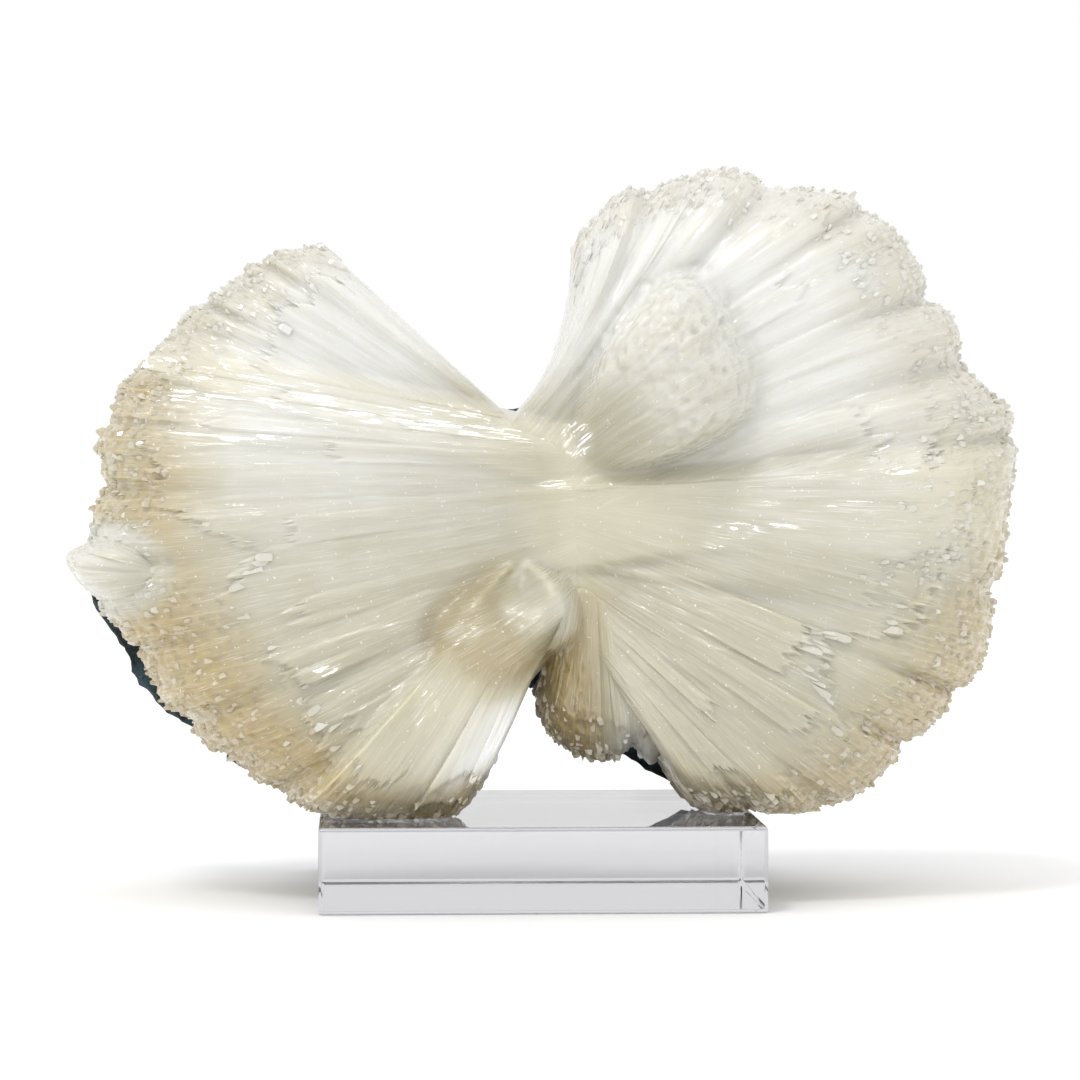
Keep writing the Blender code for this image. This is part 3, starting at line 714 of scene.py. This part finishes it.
def crystal_ends(kinds, u, s, seed):
    """The relief of several kinds of crystal ends, one on another."""
    return sum(
        height * scales(u, s, width, length, seed + offset, end, side, tilt)
        for height, width, length, offset, end, side, tilt in kinds
    )


def relief(fan, across, out, u, s, on_side, crease):
    """Height of the fine relief: long plates in front, scale-like ends at the rim, plates on the sides."""
    seed = fan["seed"]
    level = np.zeros_like(across)
    wander = 0.05 * lattice(across, level, 9, 1, seed + 30) + 0.03 * lattice(across, level, 31, 1, seed + 31)
    band = smooth((out - spread(fan["band"], across) - wander) / 0.05)
    body = smooth((out - 0.05) / 0.35) * (1.0 - 0.8 * crease)
    fibres = FIBRE_HEIGHT * lattice(across, out, fan["blades"] * 12, 6, seed + 22)
    front = body * (1.0 - band) * (crystal_ends(PLATES_IN_FRONT, u, s, seed) + fibres)
    front = front + band * crystal_ends(ENDS_AT_RIM, u, s, seed)
    return np.where(on_side, crystal_ends(PLATES_ON_SIDES, u, s, seed), front)


def on_specimen(points):
    """Clamps points to the specimen's split back and flat feet, and puts them where it stands."""
    points = points.copy()
    points[:, 1] = np.minimum(points[:, 1], BACK)
    points[:, 2] = np.maximum(points[:, 2], FOOT)
    points[:, 0] += SPECIMEN_SHIFT
    return points


def vertex_normals(points, quads):
    """Normals of the points of a mesh of four-sided faces."""
    corners = points[quads]
    turned = np.cross(corners[:, 2] - corners[:, 0], corners[:, 3] - corners[:, 1])
    normals = np.zeros_like(points)
    for corner in range(4):
        np.add.at(normals, quads[:, corner], turned)
    return normals / np.maximum(np.linalg.norm(normals, axis=1), 1e-9)[:, None]


def fan_mesh(fan, fills):
    """A fan's base points, its four-sided faces, the points round its back, and where each point lies:
    across, out, how far along the rim (u) and the fibre (s), on a side or not, crease, and bare depth."""
    columns = fan["columns"]
    rows = fan["rows"]
    shares, travelled = profile(fan)
    out = np.interp(np.linspace(0.0, travelled[-1], rows), travelled, shares)
    even = np.linspace(0.0, 1.0, columns)
    first, last = across_ends(fan)
    across = first + (last - first) * (even - 0.022 * np.sin(2.0 * np.pi * even))
    grid_out, grid_across = (grid.ravel() for grid in np.meshgrid(out, across, indexing="ij"))
    front = fan_surface(fan, grid_across, grid_out)
    bare_depth = front[:, 1].copy()
    fill = seen_in(fills, front[:, 0], front[:, 2])
    front[:, 1] -= fill
    crease = np.clip(fill / DEEP_CREASE, 0.0, 1.0)
    rim_length = np.linalg.norm(np.diff(along(fan["rim"], even), axis=0), axis=1).sum()
    grid_s = np.interp(grid_out, shares, travelled)
    points = [front]
    place = [np.stack([
        grid_across, grid_out, grid_across * rim_length, grid_s, np.zeros(rows * columns), crease, bare_depth,
    ], axis=1)]
    grid = np.arange(rows * columns).reshape(rows, columns)
    quads = [np.stack([grid[:-1, :-1], grid[:-1, 1:], grid[1:, 1:], grid[1:, :-1]], axis=-1).reshape(-1, 4)]
    border = np.concatenate([grid[:, 0], grid[-1, 1:], grid[-2::-1, -1], grid[0, -2:0:-1]])
    edge_across = grid_across[border]
    edge_out = grid_out[border]
    edge_depth = front[border, 1]
    on_side = (edge_across <= first) | (edge_across >= last)
    fibre = fibre_lengths(fan, edge_across)
    before = border
    for layer in range(1, fan["layers"] + 1):
        depth = edge_depth + (BACK - edge_depth) * layer / fan["layers"]
        narrowing = wall_narrowing(fan, depth, fibre)
        wall_across = edge_across + (0.5 - edge_across) * narrowing
        places = fibre_points(fan, wall_across, reach_of(fan, edge_across, edge_out * (1.0 - narrowing)))
        points.append(np.stack([places[:, 0], depth, places[:, 1]], axis=1))
        u = np.where(on_side, depth, edge_across * rim_length)
        s = np.where(on_side, edge_out * fibre, grid_s[border] + depth - edge_depth)
        place.append(np.stack([edge_across, edge_out, u, s, on_side, np.zeros(len(border)), depth], axis=1))
        after = rows * columns + (layer - 1) * len(border) + np.arange(len(border))
        quads.append(np.stack([before, np.roll(before, -1), np.roll(after, -1), after], axis=-1))
        before = after
    quads = np.concatenate(quads)
    if turns_left(fan):
        quads = quads[:, ::-1]
        before = before[::-1]
    return np.concatenate(points), quads, before, np.concatenate(place)


def tint_of(fan, across, out, points, height, shades):
    """Amber, pearl and how near a crystal's end each point lies. In front the fans' tints blend."""
    x = points[:, 0] - SPECIMEN_SHIFT
    z = points[:, 2]
    behind = points[:, 1] - seen_in(shades["roof"], x, z)
    near_front = 1.0 - smooth((behind - TINT_BEHIND[0]) / TINT_BEHIND[1])
    pearl, amber = base_tint(fan, across, out)
    pearl = pearl + (seen_in(shades["pearl"], x, z) - pearl) * near_front
    amber = amber + (seen_in(shades["amber"], x, z) - amber) * near_front
    patches = noise_sum(points, PATCHES)
    # Partly painted shade: low down, amber grows stronger and darker, in part the crystal's stain and in part
    # the shade that falls on the lower parts.
    low = smooth((LOW_AMBER_AND_SHADE[0] - z) / LOW_AMBER_AND_SHADE[1])
    amber = np.clip(amber * (0.55 + 0.6 * low) + 0.3 * patches * amber, 0.0, 1.2)
    pearl = np.clip(pearl + 0.15 * patches + 0.12 * lattice(across, out, 60, 4, fan["seed"] + 40), -1.0, 1.0)
    return np.stack([amber, pearl, height], axis=1)


def gleam_at(points):
    """How strongly the cleavage faces gleam in the places where many of them face one way."""
    share = np.zeros(len(points))
    for x, z, half_width, half_height, strength in GLEAMS:
        aside = (points[:, 0] - SPECIMEN_SHIFT - x) / half_width
        above = (points[:, 2] - z) / half_height
        share = np.maximum(share, strength * smooth(1.6 * (1.0 - (aside ** 2 + above ** 2))))
    return share


def fan_piece(fan, maps, fills, shades, finish):
    """One fan: a front sheet of fibres, walls back to the rock, and a flat back."""
    points, quads, back, place = fan_mesh(fan, fills)
    across, out, u, s, on_side, crease, bare_depth = place.T
    crease = np.clip(seen_in(shades["creases"], points[:, 0], points[:, 2]) / DEEP_CREASE, 0.0, crease)
    height = relief(fan, across, out, u, s, on_side > 0.5, crease)
    bumpy = np.where(on_side > 0.5, 0.0, seen_in(shades["bumps"], points[:, 0], points[:, 2]))
    height = height * (1.0 - bumpy) + BUMP_HEIGHT * bumpy * noise_sum(points, BUMPS, above_zero)
    fade = smooth((BACK - points[:, 1]) / FADE_AT_BACK)
    points = points + vertex_normals(points, quads) * (height * fade)[:, None]
    faces = quads.tolist() + [back.tolist()]
    covered = near_others(fan, points, bare_depth, maps)
    points = on_specimen(points)
    gleam = np.maximum(painted(fan["gleams"], across, out), gleam_at(points))
    vectors = {
        "sheen": np.stack([gleam, 1.0 - covered, crease], axis=1),
        "fibre_place": np.stack([u, s, np.full(len(u), 40.0 * fan["seed"])], axis=1),
        "tint": tint_of(fan, across, out, points, height, shades),
        "wet": np.repeat(bumpy[:, None], 3, axis=1),
    }
    return make_piece("fan_" + fan["name"], points, faces, finish, 60.0, vectors)


# Crystals

CRYSTAL_CORNERS = np.array([
    (-0.5, -0.5, 0.0), (0.5, -0.5, 0.0), (0.5, 0.5, 0.0), (-0.5, 0.5, 0.0),
    (-0.5, -0.5, 0.78), (0.5, -0.5, 0.78), (0.5, 0.5, 0.78), (-0.5, 0.5, 0.78),
    (-0.28, 0.0, 1.0), (0.28, 0.0, 1.0),
])
CRYSTAL_FACES = [
    (3, 2, 1, 0), (0, 1, 5, 4), (1, 2, 6, 5), (2, 3, 7, 6), (3, 0, 4, 7),
    (4, 5, 9, 8), (6, 7, 8, 9), (5, 6, 9), (7, 4, 8),
]


def crystals_mesh(roots, directions, widths, thicknesses, lengths, spins):
    """Blades with roof-like ends, all in one list of points and faces."""
    directions = directions / np.linalg.norm(directions, axis=1)[:, None]
    helper = np.where(np.abs(directions[:, 1:2]) < 0.9, [[0.0, 1.0, 0.0]], [[1.0, 0.0, 0.0]])
    side = np.cross(helper, directions)
    side /= np.linalg.norm(side, axis=1)[:, None]
    other = np.cross(directions, side)
    wide = side * np.cos(spins)[:, None] + other * np.sin(spins)[:, None]
    thin = np.cross(directions, wide)
    corners = CRYSTAL_CORNERS
    points = (
        roots[:, None, :]
        + wide[:, None, :] * (corners[None, :, 0:1] * widths[:, None, None])
        + thin[:, None, :] * (corners[None, :, 1:2] * thicknesses[:, None, None])
        + directions[:, None, :] * (corners[None, :, 2:3] * lengths[:, None, None])
    )
    faces = [
        tuple(len(corners) * number + corner for corner in face)
        for number in range(len(roots))
        for face in CRYSTAL_FACES
    ]
    return points.reshape(-1, 3), faces


def rim_places(fan, count, chance):
    """Places on a fan's rim: where its upper plates end, on the front's last stretch, and on the wall."""
    tips = count // ONE_TIP_IN
    front = count if fan["swelling"] else int(IN_FRONT * count)
    across = chance.uniform(0.03, 0.97, count)
    out = np.ones(count)
    shoulder_at = fan["dome"][0]
    out[:front] = shoulder_at + (1.0 - shoulder_at) * np.sqrt(1.0 - chance.uniform(0.0, 0.9, front) ** 2)
    out[:tips] = step_places(fan, across[:tips])[0] - chance.uniform(0.0, 0.02, tips)
    places = fan_surface(fan, across, out)
    depth = fan["edge"] + (BACK - 1.0 - fan["edge"]) * chance.uniform(0.0, 1.0, count)
    narrowing = wall_narrowing(fan, depth, fibre_lengths(fan, across))
    reach = reach_of(fan, across, 1.0 - narrowing)
    walls = fibre_points(fan, across + (0.5 - across) * narrowing, reach)
    places[front:] = np.stack([walls[:, 0], depth, walls[:, 1]], axis=1)[front:]
    return places, across, out


def fan_crystals(fan, fills, shades, finish):
    """Small blades standing out of a fan's rim, each in line with the fibres that end there."""
    chance = np.random.default_rng(fan["seed"] + 500)
    count = fan["crystals"]
    places, across, out = rim_places(fan, count, chance)
    on_front = out < 1.0

    def either(ranges):
        """Random values, from the first range in front and from the second on the wall."""
        in_front, on_wall = (chance.uniform(low, high, count) for low, high in ranges)
        return np.where(on_front, in_front, on_wall)

    middle = fibre_points(fan, np.array([0.5]), np.array([0.0]))[0]
    directions = places - np.array([middle[0], APEX_DEPTH, middle[1]])
    places[on_front, 1] -= seen_in(fills, places[on_front, 0], places[on_front, 2])
    directions[on_front, 1] *= LEAN_IN_FRONT
    directions /= np.linalg.norm(directions, axis=1)[:, None]
    directions += chance.normal(0.0, CRYSTAL_LEAN, directions.shape)
    widths = either(CRYSTAL_WIDTHS)
    thicknesses = widths * chance.uniform(*CRYSTAL_THICKNESSES, count)
    lengths = chance.uniform(*CRYSTAL_LENGTHS, count)
    roots = places - directions * (lengths - either(STAND_OUTS))[:, None]
    spins = np.where(on_front, chance.normal(0.0, CRYSTAL_SPIN, count), chance.uniform(0.0, np.pi, count))
    points, faces = crystals_mesh(roots, directions, widths, thicknesses, lengths, spins)
    points = on_specimen(points)
    corners = len(CRYSTAL_CORNERS)
    height = np.tile(CRYSTAL_CORNERS[:, 2], count) * 0.5
    vectors = {
        "fibre_place": np.repeat(chance.uniform(0.0, 90.0, (count, 3)), corners, axis=0),
        "tint": tint_of(fan, np.repeat(across, corners), np.repeat(out, corners), points, height, shades),
    }
    return make_piece("rim_crystals_" + fan["name"], points, faces, finish, 20.0, vectors)


# Rock and block

def outline_reach(turns):
    """Distance from the crust's centre to its outline, at each turn around it."""
    offsets = np.array(ROCK_OUTLINE) - np.array(ROCK_CENTRE)
    angles = np.arctan2(offsets[:, 1], offsets[:, 0]) % (2.0 * np.pi)
    order = np.argsort(angles)
    reach = np.linalg.norm(offsets, axis=1)
    return np.interp(turns, angles[order], reach[order], period=2.0 * np.pi)


def rock_rings():
    """The crust's rings, over the rim from the front's middle to the back's: share of the reach, how far
    behind the front face, and how rough."""
    rings = [(share, 0.0, 0.0) for share in ROCK_FRONT_RINGS]
    for layer in range(ROCK_RIM_LAYERS):
        down = layer / (ROCK_RIM_LAYERS - 1)
        rings.append((1.0, ROCK_RIM_FROM + ROCK_RIM_DEPTH * down, math.sin(math.pi * down)))
    for share in np.linspace(1.0, 0.03, ROCK_BACK_RINGS + 1)[1:] ** 0.9:
        rise = (ROCK_THICKNESS - ROCK_MIDDLE) * min(1.0, 4.0 * (1.0 - share))
        rings.append((share, ROCK_BACK_FROM + rise, 1.0))
    return rings


def rock_piece(finish):
    """The crust: flat where the crystals grew, knobbly at its rim and behind."""
    turns = np.linspace(0.0, 2.0 * np.pi, ROCK_AROUND, endpoint=False)
    reach = outline_reach(turns)
    rings = rock_rings()
    points = []
    for share, behind, rough in rings:
        x = ROCK_CENTRE[0] + reach * share * np.cos(turns)
        z = ROCK_CENTRE[1] + reach * share * np.sin(turns)
        ring = np.stack([x, np.full(ROCK_AROUND, ROCK_FRONT + behind), z], axis=1)
        lumps = noise_sum(ring, ROCK_LUMPS, np.abs)
        waves = noise_sum(ring, ROCK_WAVES)
        if share >= 1.0:
            ring[:, 0] += np.cos(turns) * (rough * 0.6 + 0.3) * (lumps - 0.6)
            ring[:, 2] += np.sin(turns) * (rough * 0.6 + 0.3) * (lumps - 0.6)
        elif behind > 0.0:
            ring[:, 1] += 0.9 * lumps + 0.9 * waves * min(1.0, 3.0 * (1.0 - share))
        points.append(ring)
    for behind in (0.0, ROCK_MIDDLE):
        points.append(np.array([[ROCK_CENTRE[0], ROCK_FRONT + behind, ROCK_CENTRE[1]]]))
    points = np.concatenate(points)
    points[:, 1] = np.clip(points[:, 1], ROCK_FRONT, ROCK_FRONT + ROCK_THICKNESS + 1.0)
    points[:, 2] = np.maximum(points[:, 2], FOOT)
    points[:, 0] += SPECIMEN_SHIFT
    front_middle = len(rings) * ROCK_AROUND
    last_ring = front_middle - ROCK_AROUND
    steps = [(step, (step + 1) % ROCK_AROUND) for step in range(ROCK_AROUND)]
    faces = []
    for near in range(0, last_ring, ROCK_AROUND):
        far = near + ROCK_AROUND
        faces.extend((near + here, far + here, far + ahead, near + ahead) for here, ahead in steps)
    for here, ahead in steps:
        faces.append((front_middle, here, ahead))
        faces.append((front_middle + 1, last_ring + ahead, last_ring + here))
    piece = make_piece("rock_crust", points, faces, finish, 35.0)
    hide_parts("matrix")


def block_piece(finish):
    """The clear block with softly rounded edges."""
    low = np.array([-0.5 * BLOCK_SIZE[0], 0.0, 0.0])
    high = low + BLOCK_SIZE
    corners = np.array([
        [(low, high)[(number >> axis) & 1][axis] for axis in range(3)]
        for number in range(8)
    ])
    faces = [(0, 2, 3, 1), (4, 5, 7, 6), (0, 1, 5, 4), (2, 6, 7, 3), (0, 4, 6, 2), (1, 3, 7, 5)]
    piece = make_piece("clear_block", corners, faces, finish, 50.0)
    rounding = piece.modifiers.new("Rounded edges", "BEVEL")
    rounding.width = BLOCK_ROUNDING * MM
    rounding.segments = 4
    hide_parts("stand")


# Materials

CREAM = (0.51, 0.482, 0.37)
PEARL = (0.77, 0.77, 0.745)
SHADE = (0.37, 0.345, 0.255)
AMBER = (0.455, 0.355, 0.165)
END_WHITE = (0.80, 0.80, 0.78)
# Painted glow: the warm colour that brightens the creases stands in for light through the crystal.
CREASE_GLOW = (0.66, 0.62, 0.45)
# White of the silky threads, and of painted glint streaks.
SILK_AND_GLINT_WHITE = (0.84, 0.84, 0.80)
# White of painted sparkles, standing in for glints.
SPARKLE_WHITE = (0.92, 0.92, 0.90)
ROCK_DARK = (0.002, 0.004, 0.006)
ROCK_BLUE = (0.035, 0.085, 0.105)
ROCK_PALE = (0.26, 0.24, 0.19)
ACRYLIC = (0.67, 0.665, 0.69, 1.0)
FLOOR_WHITE = (0.96, 0.96, 0.96, 1.0)

# Noise along the fibres: how often it repeats in a millimetre across and along them
STREAKS = (1.6, 0.09, 1.0)
WIDE_STREAKS = (0.35, 0.04, 1.0)
THREADS = (5.5, 0.16, 1.0)

# Noise in space: how often it repeats in a metre
CLOUD = 110.0
GRAIN = 1100.0
SPARKLE_REPEATS = 1900.0
DROPS = 560.0
ROCK_COARSE = 260.0
ROCK_FINE = 900.0
SCUFFS = 300.0

# How high the noise's bumps are, in millimetres: drops on the crystal and on its coat, the rock's, and scuffs
DROP_HEIGHTS = (0.7, 1.2)
ROCK_HEIGHTS = (1.0, 0.35)
SCUFF_HEIGHT = 0.02

# Cleavage faces: cells per millimetre across and along the fibres, how far they lean, and the way they all
# face where they gleam
FACET_CELLS = (2.3, 0.30, 1.0)
FACET_LEAN = 0.5
FACET_RAGGED = (1.2, 0.6, 0.0)
GLEAM_LEAN = 0.27
CLEAVAGE = (-0.206, -0.821, 0.532)


def new_material(name):
    made = bpy.data.materials.new(name)
    made.use_nodes = True
    return made, made.node_tree, made.node_tree.nodes["Principled BSDF"]


def put_in(tree, node, inputs):
    """Sets a node's inputs, or links them where the value is another node's output."""
    for key, value in inputs.items():
        if isinstance(value, bpy.types.NodeSocket):
            tree.links.new(value, node.inputs[key])
        else:
            node.inputs[key].default_value = value


def add_node(tree, kind, inputs=None, **settings):
    node = tree.nodes.new("ShaderNode" + kind)
    for key, value in settings.items():
        setattr(node, key, value)
    put_in(tree, node, inputs or {})
    return node


def attribute(tree, name, output="Vector"):
    return add_node(tree, "Attribute", attribute_name=name).outputs[output]


def mix_colour(tree, factor, first, second):
    inputs = {"Factor": factor}
    for index, colour in ((6, first), (7, second)):
        inputs[index] = colour if isinstance(colour, bpy.types.NodeSocket) else (*colour, 1.0)
    return add_node(tree, "Mix", inputs, data_type="RGBA").outputs[2]


def number(tree, operation, first, second, clamp=False, third=0.0):
    inputs = {0: first, 1: second, 2: third}
    return add_node(tree, "Math", inputs, operation=operation, use_clamp=clamp).outputs[0]


def times(tree, first, second, clamp=False):
    return number(tree, "MULTIPLY", first, second, clamp)


def vector_math(tree, operation, first, second):
    return add_node(tree, "VectorMath", {0: first, 1: second}, operation=operation).outputs[0]


def ranged(tree, value, low, high, at_low, at_high):
    """A value carried over from one range to another."""
    inputs = {"Value": value, "From Min": low, "From Max": high, "To Min": at_low, "To Max": at_high}
    return add_node(tree, "MapRange", inputs).outputs[0]


def noise_of(tree, vector, scale, detail=3.0, roughness=0.5):
    inputs = {"Vector": vector, "Scale": scale, "Detail": detail, "Roughness": roughness}
    return add_node(tree, "TexNoise", inputs).outputs["Fac"]


def fibre_noise(tree, fibres, repeats, detail):
    """Noise that is long along the fibres."""
    return noise_of(tree, vector_math(tree, "MULTIPLY", fibres, repeats), 1.0, *detail)


def bumped(tree, height, distance, normal=None, strength=1.0):
    """The way the surface faces, with a height's bumps so many millimetres high."""
    inputs = {"Strength": strength, "Distance": distance * MM, "Height": height}
    if normal is not None:
        inputs["Normal"] = normal
    return add_node(tree, "Bump", inputs).outputs[0]


def crystal_colour(tree, fibres, place, threads, streaks, sheens, fused):
    """Cream, pearly where the fibres are fine, darker where pearl is below zero (in part painted shade),
    amber towards the rim, with white ends, threads and painted sparkles; the fused fans also get painted
    glint streaks and a painted warm glow in their creases.
    """
    amber, pearl, end = add_node(tree, "SeparateXYZ", {0: attribute(tree, "tint")}).outputs
    wide_streaks = fibre_noise(tree, fibres, WIDE_STREAKS, (3.0,))
    veins = number(tree, "ADD", times(tree, streaks, 0.25), times(tree, wide_streaks, 0.3))
    pearl = number(tree, "ADD", pearl, number(tree, "SUBTRACT", veins, 0.275))
    colour = mix_colour(tree, times(tree, pearl, 1.0, True), CREAM, PEARL)
    # Below zero, pearl darkens towards the shade colour: on the lower fans and the round lobe, in part a
    # darker tone and in part painted shade.
    colour = mix_colour(tree, times(tree, pearl, -1.0, True), colour, SHADE)
    cloud = noise_of(tree, place, CLOUD, 4.0, 0.6)
    amber = number(tree, "ADD", amber, number(tree, "MULTIPLY_ADD", cloud, 0.5, third=-0.30), True)
    colour = mix_colour(tree, amber, colour, AMBER)
    colour = mix_colour(tree, ranged(tree, end, 0.3, 1.0, 0.0, 0.45), colour, END_WHITE)
    colour = mix_colour(tree, ranged(tree, threads, 0.56, 0.72, 0.0, 0.55), colour, SILK_AND_GLINT_WHITE)
    if fused:
        # Painted highlight: where the cleavage faces gleam, ragged white streaks are painted into the colour
        # as glints.
        glint_streaks = number(tree, "MULTIPLY_ADD", threads, 6.0, True, third=-3.0)
        colour = mix_colour(tree, times(tree, times(tree, sheens[0], glint_streaks), 0.6), colour, SILK_AND_GLINT_WHITE)
        # Painted glow: the creases are warmed and brightened, standing in for light through the crystal
        # against the shade there.
        colour = mix_colour(tree, times(tree, sheens[2], 0.55), colour, CREASE_GLOW)
    else:
        colour = mix_colour(tree, 0.2, colour, END_WHITE)
    # Painted highlight: tiny white sparkles, standing in for glints on fine facets.
    painted_sparkles = ranged(tree, noise_of(tree, place, SPARKLE_REPEATS, 1.0), 0.72, 0.76, 0.0, 0.6)
    return mix_colour(tree, painted_sparkles, colour, SPARKLE_WHITE)


def cleavage_normal(tree, fibres, gleam, normal):
    """Small flat faces, long along the fibres: each leans its own way, or nearly all one way in a gleam."""
    ragged = add_node(tree, "TexNoise", {"Vector": fibres, "Scale": 1.3, "Detail": 2.0})
    ragged = vector_math(tree, "MULTIPLY", ragged.outputs["Color"], FACET_RAGGED)
    stretched = vector_math(tree, "ADD", vector_math(tree, "MULTIPLY", fibres, FACET_CELLS), ragged)
    cells = add_node(tree, "TexVoronoi", {"Vector": stretched, "Scale": 1.0, "Randomness": 0.9})
    lean = vector_math(tree, "SUBTRACT", cells.outputs["Color"], (0.5, 0.5, 0.5))
    amount = number(tree, "MULTIPLY_ADD", gleam, GLEAM_LEAN - FACET_LEAN, third=FACET_LEAN)
    lean = add_node(tree, "VectorMath", {0: lean, 3: amount}, operation="SCALE").outputs[0]
    base = add_node(tree, "Mix", {"Factor": gleam, 4: normal, 5: CLEAVAGE}, data_type="VECTOR")
    return vector_math(tree, "NORMALIZE", vector_math(tree, "ADD", base.outputs[1], lean), (0.0, 0.0, 0.0))


def crystal_material(name, fused, roughness, fibre_bump, fine_bump, scatter):
    """Waxy crystal with a glassy coat of cleavage faces. Only the fused fans glow within and gleam."""
    made, tree, surface = new_material(name)
    sheens = add_node(tree, "SeparateXYZ", {0: attribute(tree, "sheen")}).outputs
    fibres = attribute(tree, "fibre_place")
    place = add_node(tree, "TexCoord").outputs["Object"]
    streaks = fibre_noise(tree, fibres, STREAKS, (4.0, 0.6))
    threads = fibre_noise(tree, fibres, THREADS, (3.0, 0.6))
    grain = noise_of(tree, place, GRAIN, 3.0, 0.6)
    ridges = number(tree, "MULTIPLY_ADD", threads, 0.5, third=streaks)
    bump = bumped(tree, ridges, fibre_bump)
    fine = bumped(tree, grain, fine_bump, bump)
    facets = cleavage_normal(tree, fibres, sheens[0], bump)
    if fused:
        drops = times(tree, noise_of(tree, place, DROPS, 0.0), attribute(tree, "wet", "Fac"))
        fine = bumped(tree, drops, DROP_HEIGHTS[0], fine)
        facets = bumped(tree, drops, DROP_HEIGHTS[1], facets)
    put_in(tree, surface, {
        "Base Color": crystal_colour(tree, fibres, place, threads, streaks, sheens, fused),
        "Roughness": ranged(tree, grain, 0.3, 0.7, roughness - 0.08, roughness + 0.12),
        "IOR": 1.5,
        "Normal": fine,
        "Subsurface Weight": times(tree, sheens[1], 0.8) if fused else 0.0,
        "Subsurface Radius": (1.0, 0.9, 0.68),
        "Subsurface Scale": scatter * MM,
        "Coat Weight": 0.8,
        "Coat Roughness": 0.04,
        "Coat IOR": 1.65,
        "Coat Normal": facets,
    })
    return made


def rock_material():
    made, tree, surface = new_material("dark_rock")
    place = add_node(tree, "TexCoord").outputs["Object"]
    coarse = noise_of(tree, place, ROCK_COARSE, 5.0, 0.65)
    fine = noise_of(tree, place, ROCK_FINE, 4.0, 0.65)
    blue = mix_colour(tree, ranged(tree, coarse, 0.38, 0.66, 0.0, 1.0), ROCK_DARK, ROCK_BLUE)
    pale = times(tree, number(tree, "SUBTRACT", fine, 0.62, True), 3.0, True)
    put_in(tree, surface, {
        "Base Color": mix_colour(tree, pale, blue, ROCK_PALE),
        "Roughness": 0.78,
        "Normal": bumped(tree, fine, ROCK_HEIGHTS[1], bumped(tree, coarse, ROCK_HEIGHTS[0])),
    })
    return made


def acrylic_material():
    made, tree, surface = new_material("clear_acrylic")
    place = add_node(tree, "TexCoord").outputs["Object"]
    scuffs = noise_of(tree, place, SCUFFS, 2.0)
    put_in(tree, surface, {
        "Base Color": ACRYLIC,
        "Roughness": 0.02,
        "IOR": 1.49,
        "Transmission Weight": 1.0,
        "Normal": bumped(tree, scuffs, SCUFF_HEIGHT, strength=0.15),
    })
    return made


def floor_material():
    made, tree, surface = new_material("pale_floor")
    put_in(tree, surface, {"Base Color": FLOOR_WHITE, "Roughness": 0.9})
    return made


# Studio

def floor_piece():
    mesh = bpy.data.meshes.new("floor")
    sides = ((-1, -1), (1, -1), (1, 1), (-1, 1))
    corners = [(x * FLOOR_SIZE, y * FLOOR_SIZE, FLOOR_LEVEL * MM) for x, y in sides]
    mesh.from_pydata(corners, [], [(0, 1, 2, 3)])
    mesh.materials.append(floor_material())
    floor = bpy.data.objects.new("floor", mesh)
    bpy.context.scene.collection.objects.link(floor)


def world_light():
    """Even white light from all round, as in a light tent."""
    world = bpy.data.worlds.new("studio")
    bpy.context.scene.world = world
    world.use_nodes = True
    background = world.node_tree.nodes["Background"]
    background.inputs["Color"].default_value = (1.0, 1.0, 1.0, 1.0)
    background.inputs["Strength"].default_value = WORLD_STRENGTH


def lamp(name, strength, angle):
    """A lamp high up, in front and to the left."""
    light = bpy.data.lights.new(name, "SUN")
    light.energy = strength
    light.angle = math.radians(angle)
    holder = bpy.data.objects.new(name, light)
    holder.rotation_euler = Vector(KEY_FROM).to_track_quat("Z", "Y").to_euler()
    bpy.context.scene.collection.objects.link(holder)


def photo_camera():
    data = bpy.data.cameras.new("camera")
    data.sensor_width = SENSOR_WIDTH
    data.lens = SENSOR_WIDTH * FOCAL_PIXELS / IMAGE_SIZE
    data.clip_start = 0.01
    camera = bpy.data.objects.new("camera", data)
    ahead = Vector((math.sin(CAMERA_TURN), math.cos(CAMERA_TURN), 0.0))
    right = Vector((ahead.y, -ahead.x, 0.0))
    middle = Vector((ORIGIN[0], ORIGIN[1], 0.0)) * MM
    offset = (BLOCK_MIDDLE_COLUMN - 0.5 * IMAGE_SIZE) * CAMERA_DISTANCE / FOCAL_PIXELS * MM
    camera.location = middle - ahead * CAMERA_DISTANCE * MM - right * offset
    camera.location.z = CAMERA_HEIGHT * MM
    tilt = math.atan((0.5 * IMAGE_SIZE - HORIZON_ROW) / FOCAL_PIXELS)
    camera.rotation_euler = (0.5 * math.pi - tilt, 0.0, -CAMERA_TURN)
    bpy.context.scene.collection.objects.link(camera)
    bpy.context.scene.camera = camera


def main():
    fan_finish = crystal_material(
        "stilbite_fibres", fused=True, roughness=0.36, fibre_bump=0.08, fine_bump=0.03, scatter=3.0)
    crystal_finish = crystal_material(
        "stilbite_crystals", fused=False, roughness=0.30, fibre_bump=0.0, fine_bump=0.02, scatter=1.6)
    maps = {fan["name"]: depth_map(fan) for fan in FANS}
    nearest, skin = skin_maps(maps)
    shades = tint_maps(maps, skin)
    for fan in FANS:
        fills = fill_of(fan, maps, nearest, skin)
        if not fan["swelling"]:
            fan_piece(fan, maps, fills, shades, fan_finish)
        if fan["crystals"]:
            fan_crystals(fan, fills, shades, crystal_finish)
    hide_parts("stilbite")
    rock_piece(rock_material())
    block_piece(acrylic_material())
    floor_piece()
    world_light()
    lamp("soft_key", SOFT_STRENGTH, SOFT_ANGLE)
    lamp("glint_key", GLINT_STRENGTH, GLINT_ANGLE)
    photo_camera()
    view = bpy.context.scene.view_settings
    view.view_transform = "Standard"
    view.look = "None"


main()
